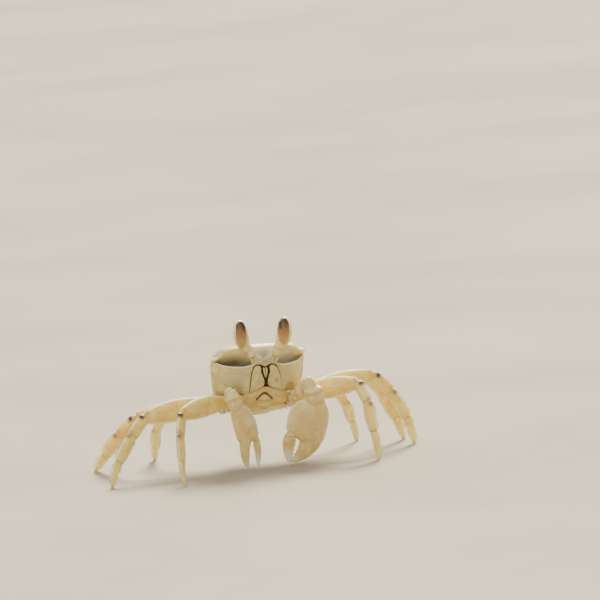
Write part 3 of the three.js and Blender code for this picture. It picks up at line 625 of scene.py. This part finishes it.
# Along the middle of the flap, from under the chest round to the back: y, z and half width.
FLAP_PATH = [(0.8, -13.75, 0.7), (1.3, -13.85, 1.6), (2.4, -14.0, 2.5), (5.6, -14.05, 3.4), (9.6, -14.0, 4.0),
             (12.6, -13.5, 4.4), (14.8, -12.4, 4.7), (16.5, -10.6, 4.8), (17.6, -8.6, 4.8),
             (18.2, -6.6, 4.6), (18.1, -4.6, 4.2), (17.4, -3.2, 3.6)]
FLAP_HALF_THICKNESS, FLAP_RINGS, FLAP_AROUND = 0.4, 190, 110
FLAP_JOINTS = np.array([0.07, 0.2, 0.34, 0.48, 0.62, 0.76, 0.9])

belly_skin = chalk("belly_paint", "eed98c", "dabb68", 2.6, 0.2, (0.34, 0.48), 0.025,
                   # f3ead2 pales the flap's and leg bases' edges, partly clear shell and partly painted rim
                   # light, and a spot on the lip.
                   ("f3ead2", "edge", 0.2, 1.0, 0, 0.7), ("d2b384", "soft"), ("4a3220", "line"),
                   Subsurface_Radius=(0.8, 0.74, 0.3))
chest = np.array([outline(height, half, front, CHEST_WIDEST, rear, drop, count=300, face_share=2.0)
                  for height, half, front, rear, drop in through(CHEST_ROWS, np.arange(45))])
x, y, z = chest[..., 0], chest[..., 1], chest[..., 2]
a = np.abs(x)
seams = np.minimum.reduce([near_line(a, y, [(2.4, k + 0.25), (6.6, k)]) + 3 * smooth(z, -11.4, -10.8)
                           for k in SEAMS_Y] + [near_line(a, y, [(0, -2.0), (0, 12.0)]) + 0.1])
lift = 0.1 * cloud(chest, 1.8, 7) - 0.2 * hump(seams, 0.16)
chest = chest + outward(chest) * lift[..., None]
skin("chest", on_body(chest), "belly", belly_skin, "sternum", place=chest, line=0.45 * hump(seams, 0.1))

# Below the doors a pale lip closes the mouth, with an arched dark fold across it.
lip = LIP + [(-px, pz) for px, pz in LIP[-2:0:-1]]
px, pz, scale = filled(lip, (0, -11.3), around=260, steps=44, power=1.5, tuck=0.92)
fold = near_line(np.abs(px + 0.3), pz, [(0, -10.3), (0.5, -10.45), (1.2, -10.95), (2.1, -11.75)])
under = near_line(np.abs(px), pz, [(0, -12.3), (1.0, -12.2), (2.4, -11.95)])
wing = near_line(np.abs(px), pz, [(2.6, -11.0), (3.8, -11.5), (4.6, -11.4)])
py = through(LIP_DEPTH, pz) + 0.5 * (px / 6.5) ** 4
py += 0.4 * hump(fold, 0.24) + 0.1 * hump(under, 0.16) + 0.12 * hump(wing, 0.15)
py -= 0.3 * hump(px, 1.3) * hump(pz + 11.75, 0.55) + 0.06 * cloud(np.stack([px, 0 * px, pz], -1), 1.1, 5)
py[-2:] += 0.9
rings = np.stack([px, py, pz], -1)
skin("mouth_lip", on_body(rings), "belly", belly_skin, place=rings + [0, 30, 0],
     edge=0.6 * hump(px, 1.2) * hump(pz + 11.75, 0.5),
     line=np.clip(1.3 * hump(fold, 0.22) + 0.35 * hump(wing, 0.1) + 0.3 * hump(under, 0.12), 0, 1))

# The flap is a bent plate of seven joints with a low ridge along it, and its edges curl in to the body.
path = [(0, y, z, FLAP_HALF_THICKNESS, half) for y, z, half in FLAP_PATH]
rings, rows = swept(path, (1, 0, 0), FLAP_RINGS, FLAP_AROUND, 3.2)
from_joint = np.linspace(0, 1, FLAP_RINGS)[:, None] - FLAP_JOINTS
fold = hump(from_joint, 0.006).max(axis=1)
tile = (np.clip(1 - np.abs(from_joint) / 0.07, 0, 1) * (from_joint < 0)).max(axis=1)
rings = resized(rings, rows, 1 + 0.05 * np.sin(np.pi * tile) - 0.05 * fold)
out = outward(rings)
middle_ridge = hump(rings[..., 0], 0.8) * smooth(-out[..., 2] + out[..., 1], 0.2, 0.7)
rings = rings + out * (0.12 * middle_ridge - 0.14 * fold[:, None] + 0.03 * cloud(rings, 0.9, 4))[..., None]
away = unit(np.cross(np.gradient(rows[:, :3], axis=0), (1, 0, 0)))
curled = 0.013 * np.abs(rings[..., 0]) ** 3 * smooth(rows[:, 1], 10.5, 15.0)[:, None]
rings = rings - away[:, None] * curled[..., None]
# The flap's edges are painted paler: partly clear shell, partly painted rim light.
skin("belly_flap", on_body(rings), "belly", belly_skin, "abdomen", place=rings + [0, 40, 0],
     line=0.5 * fold[:, None], edge=smooth(np.abs(rings[..., 0]) / rows[:, None, 4], 0.8, 1.0))

# Leg bases. Ten short ring-shaped segments carry the claw arms and legs, set in soft skin along
# the edge of the chest. Same shell as the chest.
HIP_X, HIP_Z = (7.9, 9.6, 9.8, 9.6, 8.8), (-11.9, -11.5, -11.6, -11.7, -11.7)
BASE_X, BASE_Y, BASE_DROP = 6.5, (-2.3, 0.9, 4.1, 7.3, 10.5), 0.35
BASE_SCALE = (1.0, 1.0, 1.0, 1.0, 0.85)
BASE = ((0, 1.2, 1.1), (0.18, 1.5, 1.4), (0.42, 1.52, 1.42), (0.5, 1.38, 1.3), (0.58, 1.45, 1.38),
        (0.85, 1.3, 1.2), (1, 0.95, 0.9))
# The soft neck of a segment: millimetres from its joint, and shares of its first size.
NECK = ((-0.5, 0.35, 0.35), (-0.3, 0.7, 0.7), (0.05, 0.9, 0.9), (0.3, 0.95, 0.95))
coat = []


def hip(side, k):
    return on_body([side * HIP_X[k], BASE_Y[k], HIP_Z[k]])


def scaled(rows, size):
    return [(t, height * size, thickness * size) for t, height, thickness in rows]


def limb(name, start, end, upright, rows, slot, material, node, rings, around, seed, shape, neck=1.0, bow=0.0,
         keel=0.2, flat_end=False, stain=0.0, start_stain=0.0, horn=0.0, blush=0.0, rim=1.0, crack=0.3):
    """A leg segment between two joints: soft neck, raised lip, then the hard part through rows of
    (share of length, half height, half thickness), with its own grain raised by shape()."""
    start, end = np.asarray(start, float), np.asarray(end, float)
    length = np.linalg.norm(end - start)
    axis = (end - start) / length
    wide = unit(np.cross(axis, upright))
    tall = np.cross(wide, axis)
    first = np.array(rows[0][1:]) * neck
    table = [(at, height * first[0], thickness * first[1]) for at, height, thickness in NECK]
    table += [(max(t * length, 0.42 + 0.01 * k), *size) for k, (t, *size) in enumerate(rows)]
    stops = np.unique(np.concatenate([np.linspace(-0.5, 0.9, 14), np.linspace(0.9, length, rings - 18)]))
    stops = np.sort([*stops[:-1], length - 0.12, length - 0.05, length])
    size = through(table, stops)
    angle, one, two = squared(around, 2.2)
    up, across = size[:, :1] * two, size[:, 1:] * one * (1 - keel * two)
    share = np.clip(stops / length, 0, 1)
    middle = start + np.outer(stops, axis) + np.outer(bow * length * np.sin(np.pi * share), tall)
    grid = middle[:, None] + tall * up[..., None] + wide * across[..., None]
    place = np.stack([stops[:, None] + 0 * up, up, across], -1)
    share, stops = share[:, None], stops[:, None]
    hard = smooth(stops, 0.3, 0.42)
    out = outward(grid)
    lip = hump(stops - 0.62, 0.16) + hump(stops - length + 0.35, 0.18)
    rise = 0.07 * lip + 0.018 * cloud(place + 31 * seed, 0.8, seed) + shape(share, angle, place + 13 * seed)
    grid = grid + out * (rise * hard)[..., None]
    if flat_end:
        grid[-1] -= axis * (grid[-1, :, 2] / axis[2])[:, None]
        grid[..., 2] = np.maximum(grid[..., 2], 0)
    spots = stain * hump(stops - length + 0.4, 0.45) + start_stain * hump(stops - 1.0, 0.8)
    # The edge mark paints the top and bottom edges paler: partly clear shell, partly painted rim light.
    skin(name, grid, slot, material, node, place=place + [40 * seed, 17 * seed, 0], soft=1 - hard,
         blush=blush, edge=rim * smooth(np.abs(two), 0.72, 1.0) * hard, line=crack * hump(stops - 0.42, 0.1),
         stain=np.clip(1.2 * spots * smooth(two, -0.1, 0.6), 0, 1), horn=horn * smooth(share, 0.7, 1.0))
    coat.append((name, grid, out, axis, share[:, 0], angle))


def base_grain(t, angle, place):
    """Small beads and one raised ring."""
    return 0.03 * pebbles(place, 0.5, 3) + 0.08 * hump(t - 0.62, 0.05)


for word, side in SIDES:
    for k in range(5):
        inner = on_body([side * BASE_X, BASE_Y[k], HIP_Z[k] - BASE_DROP])
        limb(f"leg_base_{word}_{k + 1}", inner, hip(side, k), pitch @ [0, 0, 1], scaled(BASE, BASE_SCALE[k]),
             "belly", belly_skin, f"coxa_{word}_{k + 1}", rings=44, around=44, seed=k + 5 * (side > 0),
             shape=base_grain)

# Walking legs. Each has a broad flat thigh, a short knee piece, a flat shin and a fluted pointed toe. The
# shell is thin and straw-coloured, clear along its edges, with dark skin in the joints. Its paler edges are
# partly that clear shell and partly painted rim light.
LENGTHS = ((17.8, 6.0, 8.0, 7.6), (21.4, 6.6, 9.0, 7.6), (22.0, 6.7, 8.8, 7.1), (16.5, 5.3, 6.9, 6.1))
# For each leg, how far thigh, knee and shin point forward and up, and how far the toe points forward.
ANGLES = {
    "right": (((28, -1), (57, -52), (67, -56), 76), ((-2, -2), (26, -37), (34, -40), 41),
              ((-19, -3), (-50, -38), (-68, -42), -74), ((-47, -6), (-74, -44), (-97, -51), -104)),
    "left": (((44, 10), (80, -48), (82, -74), 82), ((14, 11), (-8, -46), (-14, -58), -14),
             ((2, 11), (-18, -48), (-26, -58), -28), ((-12, 4), (-36, -44), (-44, -56), -44)),
}
LEG_SCALE = (0.94, 1.0, 1.0, 0.82)
THIGH = ((0, 1.2, 0.95), (0.06, 1.5, 1.0), (0.16, 2.0, 1.1), (0.36, 2.62, 1.18), (0.6, 2.85, 1.2),
         (0.82, 2.35, 1.15), (0.93, 1.85, 1.05), (0.98, 1.62, 0.98), (1, 1.42, 0.9))
KNEE = ((0, 1.4, 0.88), (0.12, 1.47, 0.94), (0.5, 1.53, 0.98), (0.85, 1.55, 0.93), (0.97, 1.48, 0.88),
        (1, 1.38, 0.8))
SHIN = ((0, 1.38, 0.77), (0.12, 1.44, 0.8), (0.5, 1.47, 0.8), (0.88, 1.32, 0.72), (0.97, 1.2, 0.68),
        (1, 1.12, 0.64))
TOE = ((0, 1.1, 0.63), (0.12, 1.15, 0.67), (0.4, 1.02, 0.6), (0.75, 0.7, 0.46), (0.92, 0.42, 0.32),
       (1, 0.24, 0.2))


def thigh_grain(t, angle, place):
    """Short wavy creases across the thigh, and small teeth along its two edges."""
    wave = np.sin(2 * np.pi * (place[..., 0] + 0.5 * cloud(place, 1.3, 2)) / 0.62)
    wave = wave * smooth(cloud(place, 1.1, 8), -0.3, 0.5) * smooth(t, 0.05, 0.2)
    teeth = np.clip(np.sin(2 * np.pi * place[..., 0] / 0.85), 0, 1) * smooth(np.abs(np.sin(angle)), 0.9, 1.0)
    return 0.022 * wave + 0.13 * teeth * smooth(t, 0.1, 0.3)


def shin_grain(t, angle, place):
    """Two low ridges along each face of the shin and knee, with rows of small bumps."""
    bumps = pebbles(place, 0.42, 6) * smooth(np.abs(np.sin(angle)), 0.6, 0.95)
    return 0.06 * np.cos(2 * angle) ** 8 * smooth(t, 0.1, 0.3) + 0.05 * bumps


def toe_grain(t, angle, place):
    """Long flutes between sharp ridges down to the tip."""
    return -0.11 * np.cos(3 * angle) ** 2 * smooth(t, 0.06, 0.2) * (1 - smooth(t, 0.85, 1.0))


def heading(side, forward, up):
    """The direction that points so many degrees forward of sideways, and up."""
    forward, up = np.radians(forward), np.radians(up)
    return np.array([side * np.cos(forward) * np.cos(up), -np.sin(forward) * np.cos(up), np.sin(up)])


leg_skin = chalk(
    "leg_paint", "f6e48c", "e6ca5e", 3.0, 0.2, (0.3, 0.44), 0.02,
    ("f6efd0", lambda paint: paint.noise(1.0, 4, 0.6, stretch=(0.3, 1, 1)), 0.5, 0.75, 0, 0.55),
    # faf4dc on the edges: partly clear shell, partly painted rim light.
    ("faf4dc", "edge", 0.1, 1.0, 0, 0.8), ("a58a55", lambda paint: paint.cells(0.8), 0.13, 0.03, 0, 0.35),
    ("5d3f4a", "stain"), ("b89a66", "horn", 0.0, 1.0), ("dcc07c", "soft"), ("6f5638", "line"),
    Subsurface_Weight=0.75, Subsurface_Scale=0.0018)
SEGMENTS = (
    ("merus", THIGH, dict(shape=thigh_grain, rings=130, around=72, neck=0.7, bow=0.02, stain=0.3)),
    ("carpus", KNEE, dict(shape=shin_grain, rings=60, around=56, neck=0.97, crack=0.1, bow=0.01, stain=0.3,
                          start_stain=0.9)),
    ("propodus", SHIN, dict(shape=shin_grain, rings=74, around=56, neck=0.97, crack=0.1, bow=0.01,
                            start_stain=0.55)),
    ("dactyl", TOE, dict(shape=toe_grain, rings=70, around=56, neck=0.97, crack=0.1, bow=0.035, horn=0.6,
                         flat_end=True)),
)
for word, side in SIDES:
    for pair, angles in enumerate(ANGLES[word]):
        joint = hip(side, pair + 1)
        flat = heading(side, angles[0][0] + 90, 0)
        for k, (part, rows, looks) in enumerate(SEGMENTS):
            length = LENGTHS[pair][k]
            if part == "dactyl":
                drop = np.degrees(np.arcsin(min(joint[2] / length, 0.999)))
                way = heading(side, angles[k], -drop)
                length = joint[2] / -way[2]
            else:
                way = heading(side, *angles[k])
            end = joint + way * length
            name = f"leg_{word}_{pair + 1}_{part}"
            limb(name, joint, end, side * np.cross(flat, way), scaled(rows, LEG_SCALE[pair]), "leg", leg_skin,
                 name, seed=4 * pair + k + 16 * (side > 0) + 3, keel=0.16, **looks)
            joint = end

# Claws. The left claw is the big one. Each hangs from a short arm and wrist as one thick palm with a
# fixed finger, and a second finger hinged at its inner corner. Hard ivory shell with fine beads.
CLAWS = {
    "right": dict(elbow=(-12.2, -8.6, 21.4), wrist=(-11.0, -9.8, 18.5), palm_end=(-8.0, -9.4, 7.8), half=3.0,
                  fixed_tip=(-8.7, -8.7, 0.7), hinge=(-6.0, -9.5, 7.5), tip=(-5.8, -8.9, 0.7)),
    "left": dict(elbow=(10.0, -10.6, 21.3), wrist=(11.7, -10.8, 17.1), palm_end=(7.0, -9.9, 6.3), half=5.3,
                 fixed_tip=(3.7, -9.1, 0.6), hinge=(3.3, -9.9, 7.4), tip=(2.5, -9.3, 0.6)),
}
CLAW_FACE = np.array([-0.34, -0.94, 0.0])
# Share of length, then half height and half thickness of arm and wrist in millimetres; for palm and
# fingers, shares of the palm's own half width and half thickness.
ARM = ((0, 0.9, 0.95), (0.14, 1.15, 1.3), (0.5, 1.3, 1.6), (0.8, 1.2, 1.45), (0.93, 0.9, 1.0), (1, 0.5, 0.6))
WRIST = {
    "right": ((0, 1.45, 1.5), (0.1, 1.85, 1.95), (0.25, 2.15, 2.25), (0.5, 2.35, 2.45), (0.75, 2.25, 2.4),
              (0.9, 1.8, 2.1), (0.97, 1.1, 1.5), (1, 0.3, 0.5)),
    "left": ((0, 1.3, 1.4), (0.1, 1.45, 1.6), (0.2, 1.48, 1.62), (0.3, 1.55, 1.75), (0.41, 2.05, 2.3),
             (0.56, 2.35, 2.65), (0.75, 2.3, 2.65), (0.88, 1.9, 2.3), (0.96, 1.2, 1.6), (1, 0.3, 0.5)),
}
PALM = ((0.02, 0.2, 0.3), (0.06, 0.36, 0.42), (0.14, 0.56, 0.56), (0.32, 0.87, 0.84), (0.6, 1.0, 1.0),
        (0.85, 0.97, 0.92), (0.96, 0.86, 0.8))
FIXED = ((0.1, 0.52, 0.62), (0.35, 0.42, 0.5), (0.7, 0.28, 0.34), (0.92, 0.15, 0.2), (1, 0.05, 0.08))
FINGER = ((-0.14, 0.2, 0.3), (-0.02, 0.27, 0.42), (0.06, 0.3, 0.46), (0.18, 0.3, 0.45), (0.45, 0.28, 0.4),
          (0.75, 0.2, 0.28), (0.93, 0.12, 0.16), (1, 0.05, 0.07))
# Each side's own: how far the wrist piece leans out, the share by which it reaches above the elbow,
# rings and points round the palm, gap between teeth, and depth of the crease in the wrist.
CLAW_WAYS = {"right": (0, 0.02, 170, 150, 0.8, 0.35), "left": (1, 0.1, 230, 200, 1.05, 1.0)}
LEAST_HALF = 0.16

claw_skin = chalk("claw_paint", "f0dd94", "dec06c", 3.2, 0.2, (0.28, 0.42), 0.02,
                  # fbf8ee pales the edges and beads: the beads are pale shell, the edges partly pale shell
                  # and partly painted rim light.
                  ("dab064", "blush", 0.0, 1.0, 0, 0.7), ("fbf8ee", "edge", 0.0, 1.0, 0, 0.85),
                  ("fdfaf2", "horn"), ("e8d398", "soft"), ("7c6242", "line"), Coat_Weight=0.2)


def wrinkled(t, angle, place, depth):
    """Fine beads, and a crease under a brow across the front of the wrist, deep on the big claw."""
    crease = depth * hump(t - 0.55 + 0.06 * np.cos(angle), 0.05)
    brow = hump(t - 0.42 + 0.06 * np.cos(angle), 0.08)
    folds = (0.3 * brow - 0.5 * crease) * smooth(np.sin(angle), 0.0, 0.6)
    return folds + 0.06 * pebbles(place, 0.5, 9) * smooth(t, 0.05, 0.2) + 0.06 * cloud(place, 1.5, 5)


def strung(centres, halves, across, thick, count, around):
    """Rings across a claw, strung through centres with half widths and half thicknesses."""
    run = np.concatenate([[0], np.cumsum(np.linalg.norm(np.diff(centres, axis=0), axis=1))])
    rows = through(np.column_stack([run, centres, halves]), np.linspace(0, run[-1], count))
    angle, one, two = squared(around, 2.3)
    return (rows[:, None, :3] + across * (rows[:, 3, None] * one)[..., None]
            + thick * (rows[:, 4, None] * two * (1 - 0.14 * np.sign(two)))[..., None]), one, two


for word, side in SIDES:
    big = side > 0
    claw = {key: np.array(value) + CENTRING for key, value in CLAWS[word].items() if key != "half"}
    leaning, above, count, around, tooth_gap, crease_depth = CLAW_WAYS[word]
    half = CLAWS[word]["half"]
    bulk = half / CLAWS["left"]["half"]
    shift = np.array([leaning, 0, 0])
    down_palm = claw["palm_end"] - claw["wrist"]
    low_wrist = claw["wrist"] + 0.2 * down_palm + [0.3, 0, 0] + 0.6 * shift
    high_elbow = claw["elbow"] + above * (claw["elbow"] - low_wrist) - 0.9 * shift
    for part, first, last, rows, blush, seed in (
        ("merus", hip(side, 0), claw["elbow"] - 0.6 * shift, ARM, 0.3, 62 + side),
        ("carpus", high_elbow, low_wrist, WRIST[word], 0.1, 60 + side),
    ):
        name = f"claw_{part}_{word}"
        limb(name, first, last, CLAW_FACE, scaled(rows, 0.55 + 0.45 * bulk), "claw", claw_skin, name,
             rings=110, around=100, seed=seed, keel=0.0, blush=blush, rim=0.25,
             shape=lambda t, angle, place: wrinkled(t, angle, place, crease_depth))

    # The palm and its fixed finger in one, with knobs along its edges and teeth inside the finger.
    length = np.linalg.norm(down_palm)
    axis = down_palm / length
    across = unit(np.cross(CLAW_FACE, axis))
    across *= -side * np.sign(across[0])
    thick = unit(np.cross(axis, across))
    thick *= np.sign(thick @ CLAW_FACE)
    depth = 0.43 * half
    root = claw["palm_end"] - 0.3 * half * across
    centres, halves = [], []
    for table, start, end, bow in ((PALM, claw["wrist"], claw["palm_end"], 0.12 * half),
                                   (FIXED, root, claw["fixed_tip"], -0.16 * half)):
        centres += [start + t * (end - start) + across * bow * np.sin(np.pi * t) for t, w, d in table]
        halves += [(w * half, max(d * depth, LEAST_HALF)) for t, w, d in table]
    grid, one, two = strung(centres, halves, across, thick, count, around)
    flat = np.stack([(grid - claw["wrist"]) @ way for way in (axis, across, thick)], -1)
    along = flat[..., 0] / length
    finger = smooth(along, 1.02, 1.2)
    edges = np.abs(one)
    teeth = np.abs(np.sin(np.pi * flat[..., 0] / tooth_gap)) * (1 - smooth(along, 1.6, 1.95))
    teeth *= smooth(one, 0.86, 1.0) * finger
    knobs = np.clip(np.sin(2 * np.pi * flat[..., 0] / 0.8), 0, 1) * smooth(edges, 0.93, 1.0)
    knobs *= (1 - finger) * smooth(along, 0.12, 0.3)
    grains = pebbles(flat, 0.6, 21) + 0.4 * pebbles(flat, 0.33, 22)
    rasp = np.sin(2 * np.pi * flat[..., 0] / 0.34) * hump(flat[..., 1] + 0.2 * half, 0.35)
    rasp *= smooth(-two, 0.3, 0.8) * smooth(along, 0.25, 0.4) * (1 - smooth(along, 0.75, 0.9)) * big
    groove = hump(flat[..., 1] - 0.1 * half + 0.25 * half * finger, 0.3) * finger * smooth(two, 0.3, 0.9)
    rise = 0.055 * grains * smooth(along, 0.06, 0.2) * (1 - 0.8 * finger) + 0.05 * cloud(flat, 2.2, 3)
    rise += 0.34 * bulk ** 0.5 * teeth + 0.14 * knobs + 0.06 * rasp - 0.1 * groove
    grid = grid + outward(grid) * rise[..., None]
    blush = hump(along - 0.62, 0.4) * hump(flat[..., 1] + 0.1 * half, 0.7 * half)
    skin(f"claw_palm_{word}", grid, "claw", claw_skin, f"claw_palm_{word}", place=flat + [60 * side, 0, 0],
         # Paler palm edges: partly pale shell, partly painted rim light. The paler beads are the shell's own.
         edge=np.clip(0.5 * smooth(edges, 0.85, 1.0) + 0.35 * grains * (1 - finger), 0, 1),
         soft=1 - smooth(along, 0.015, 0.05), horn=finger * smooth(along, 1.3, 1.8),
         line=0.4 * hump(along - 0.06, 0.012), blush=blush * (0.75 if big else 0.45))

    # The movable finger.
    way = claw["tip"] - claw["hinge"]
    length = np.linalg.norm(way)
    bows = 0.1 * half * np.sin(np.pi * np.clip([t for t, w, d in FINGER], 0, 1))
    centres = [claw["hinge"] + t * way + across * bow for (t, w, d), bow in zip(FINGER, bows)]
    halves = [(max(w * half, LEAST_HALF), max(d * depth, LEAST_HALF)) for t, w, d in FINGER]
    grid, one, two = strung(centres, halves, across, thick, count // 2 + 20, around // 2 + 20)
    flat = np.stack([(grid - claw["hinge"]) @ v for v in (way / length, across, thick)], -1)
    t = flat[..., 0] / length
    teeth = np.abs(np.sin(np.pi * (flat[..., 0] / tooth_gap + 0.5))) * smooth(t, 0.08, 0.2)
    teeth *= smooth(-one, 0.86, 1.0) * (1 - smooth(t, 0.8, 0.95))
    groove = hump(flat[..., 1] - 0.06 * half, 0.28) * smooth(two, 0.3, 0.9)
    groove *= smooth(t, 0.1, 0.3) * (1 - smooth(t, 0.8, 1.0))
    beads = pebbles(flat, 0.55, 30) * (1 - smooth(t, 0.2, 0.6))
    rise = 0.3 * bulk ** 0.5 * teeth + 0.05 * beads - 0.09 * groove
    grid = grid + outward(grid) * rise[..., None]
    skin(f"claw_finger_{word}", grid, "claw", claw_skin, f"claw_finger_{word}",
         place=flat + [80 * side, 9, 0], edge=0.5 * smooth(np.abs(one), 0.85, 1.0),
         soft=1 - smooth(t, -0.1, -0.03), horn=smooth(t, 0.3, 0.9), line=0.35 * hump(t + 0.02, 0.02))

# Hair. Fine straw-coloured bristles fringe the shins and toes, the leg bases and the lower edge of
# the cheeks. Each one stands in the shell by its root and leans towards the toe.
HAIR_HALF, HAIR_DROOP, HAIR_SUNK, HAIR_CLEARANCE = 0.032, (0, 0, -0.25), 0.03, 0.03
PATCH_HALF = 0.0012
# For each kind of segment: how many bristles, their length, and how far along they start.
COATS = {"merus": (60, 0.45, 0.1), "carpus": (50, 0.55, 0.15), "propodus": (190, 0.75, 0.1),
         "dactyl": (170, 0.6, 0.08), "base": (46, 0.8, 0.3)}
CLAW_COAT = (40, 0.5)
CHEEK_HAIRS, CHEEK_RING = 900, 12
hair_paint = Finish("hair_paint", Subsurface_Weight=0.0, Specular_IOR_Level=0.4)
shade = hair_paint.noise(1.5, 2)
hair_paint.done(hair_paint.layers("d9c387", ("9c8251", shade, 0.3, 0.7)),
                hair_paint.ramp(shade, 0.2, 0.8, 0.45, 0.6))


def bristles(name, roots, ways, lengths, places):
    """Thin three-sided bristles as one mesh, each with its own small patch on the skin's unwrap."""
    ways = unit(ways)
    one = unit(np.cross(ways, [0.31, 0.52, 0.79]))
    two = np.cross(ways, one)
    share = np.array([0.0, 0.35, 0.7, 1.0])
    spine = roots[:, None] + ways[:, None] * (lengths[:, None] * share)[..., None]
    spine += np.array(HAIR_DROOP) * (lengths[:, None] * share ** 2)[..., None]
    turns = 2 * np.pi * np.arange(3) / 3
    points = [spine[:, ring] + HAIR_HALF * width * (np.cos(turn) * one + np.sin(turn) * two)
              for ring, width in enumerate((1.0, 0.75, 0.45)) for turn in turns]
    points = np.stack([*points, spine[:, 3]], 1)
    points[..., 2] = np.maximum(points[..., 2], HAIR_CLEARANCE)
    pattern = [(3 * r + c, 3 * r + (c + 1) % 3, 3 * r + 3 + (c + 1) % 3, 3 * r + 3 + c) for r in (0, 1)
               for c in range(3)]
    pattern += [(6 + c, 6 + (c + 1) % 3, 9) for c in range(3)] + [(2, 1, 0)]
    faces = [tuple(10 * n + v for v in face) for n in range(len(roots)) for face in pattern]
    mesh = bpy.data.meshes.new(name)
    mesh.from_pydata((points.reshape(-1, 3) / 1000).tolist(), [], faces)
    corners = np.zeros(len(mesh.loops), int)
    mesh.loops.foreach_get("vertex_index", corners)
    v = np.arange(10)
    turns = 2 * np.pi * (v % 3) / 3
    local = PATCH_HALF * (1 - v / 12)[:, None] * np.column_stack([np.cos(turns), np.sin(turns)])
    spots = np.clip(places[corners // 10] + local[corners % 10], 0.001, 0.999)
    mesh.uv_layers.new(name="OFBake").data.foreach_set("uv", spots.astype(np.float32).ravel())
    layer = mesh.attributes.new("place", "FLOAT_VECTOR", "POINT")
    layer.data.foreach_set("vector", points.reshape(-1, 3).astype(np.float32).ravel())
    mesh.materials.append(hair_paint.material)
    piece = added(name, mesh)
    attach(piece, "root")


for word, side in SIDES:
    tufts = []
    for order, (name, grid, out, axis, share, angle) in enumerate(c for c in coat if f"_{word}" in c[0]):
        kind = name.split("_")[-1]
        amount, size, low = COATS.get(kind, COATS["base"])
        if name.startswith("claw"):
            amount, size = CLAW_COAT
        n = np.arange(amount)
        at = low + (0.96 - low) * dice(n, order, 1)
        spread = 0.3 if kind == "merus" else 0.5
        lean = np.where(dice(n, order, 2) < 0.5, np.pi / 2, 1.5 * np.pi) + (dice(n, order, 3) - 0.5) * spread
        row = np.clip(np.searchsorted(share, at), 0, len(share) - 1)
        column = np.round(lean / (2 * np.pi) * len(angle)).astype(int) % len(angle)
        normal = out[row, column]
        jitter = np.stack([dice(n, order, k) for k in (4, 5, 6)], -1) - 0.5
        lengths = size * (0.55 + 0.75 * dice(n, order, 7)) * (0.6 + 0.4 * np.sin(np.pi * at))
        cell = np.array([order % 6, order // 6])
        places = (cell + 0.05 + 0.9 * np.stack([at, column / len(angle)], -1)) / 6
        tufts.append((grid[row, column] - HAIR_SUNK * normal, 0.75 * normal + 0.75 * axis + 0.5 * jitter,
                      lengths, places))
    bristles("hair_" + word, *(np.concatenate(values) for values in zip(*tufts)))

rings, around = shell.shape[:2]
n = np.arange(CHEEK_HAIRS)
pick = (dice(n, 5, 1) * around).astype(int)
ring = np.clip(CHEEK_RING + (dice(n, 6, 1) * 16).astype(int) - 6, 1, 60)
keep = (shell[ring, pick, 1] < 13) & (np.abs(shell[ring, pick, 0]) > 4.6)
n, pick, ring = n[keep], pick[keep], ring[keep]
jitter = np.stack([dice(n, 9, k) for k in (1, 2, 3)], -1) - 0.5
ways = (0.9 * facing[ring, pick] + [0, 0, -0.9] + 0.9 * jitter) @ posture.T
places = 0.02 + 0.96 * np.stack([pick / around, ring / rings], -1)
bristles("hair_cheek", on_body(shell[ring, pick]), ways, 0.5 + 0.7 * dice(n, 4, 4), places)

size = {"cad": [list(corner) for corner in cad_box], "visual": [list(corner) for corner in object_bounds()]}
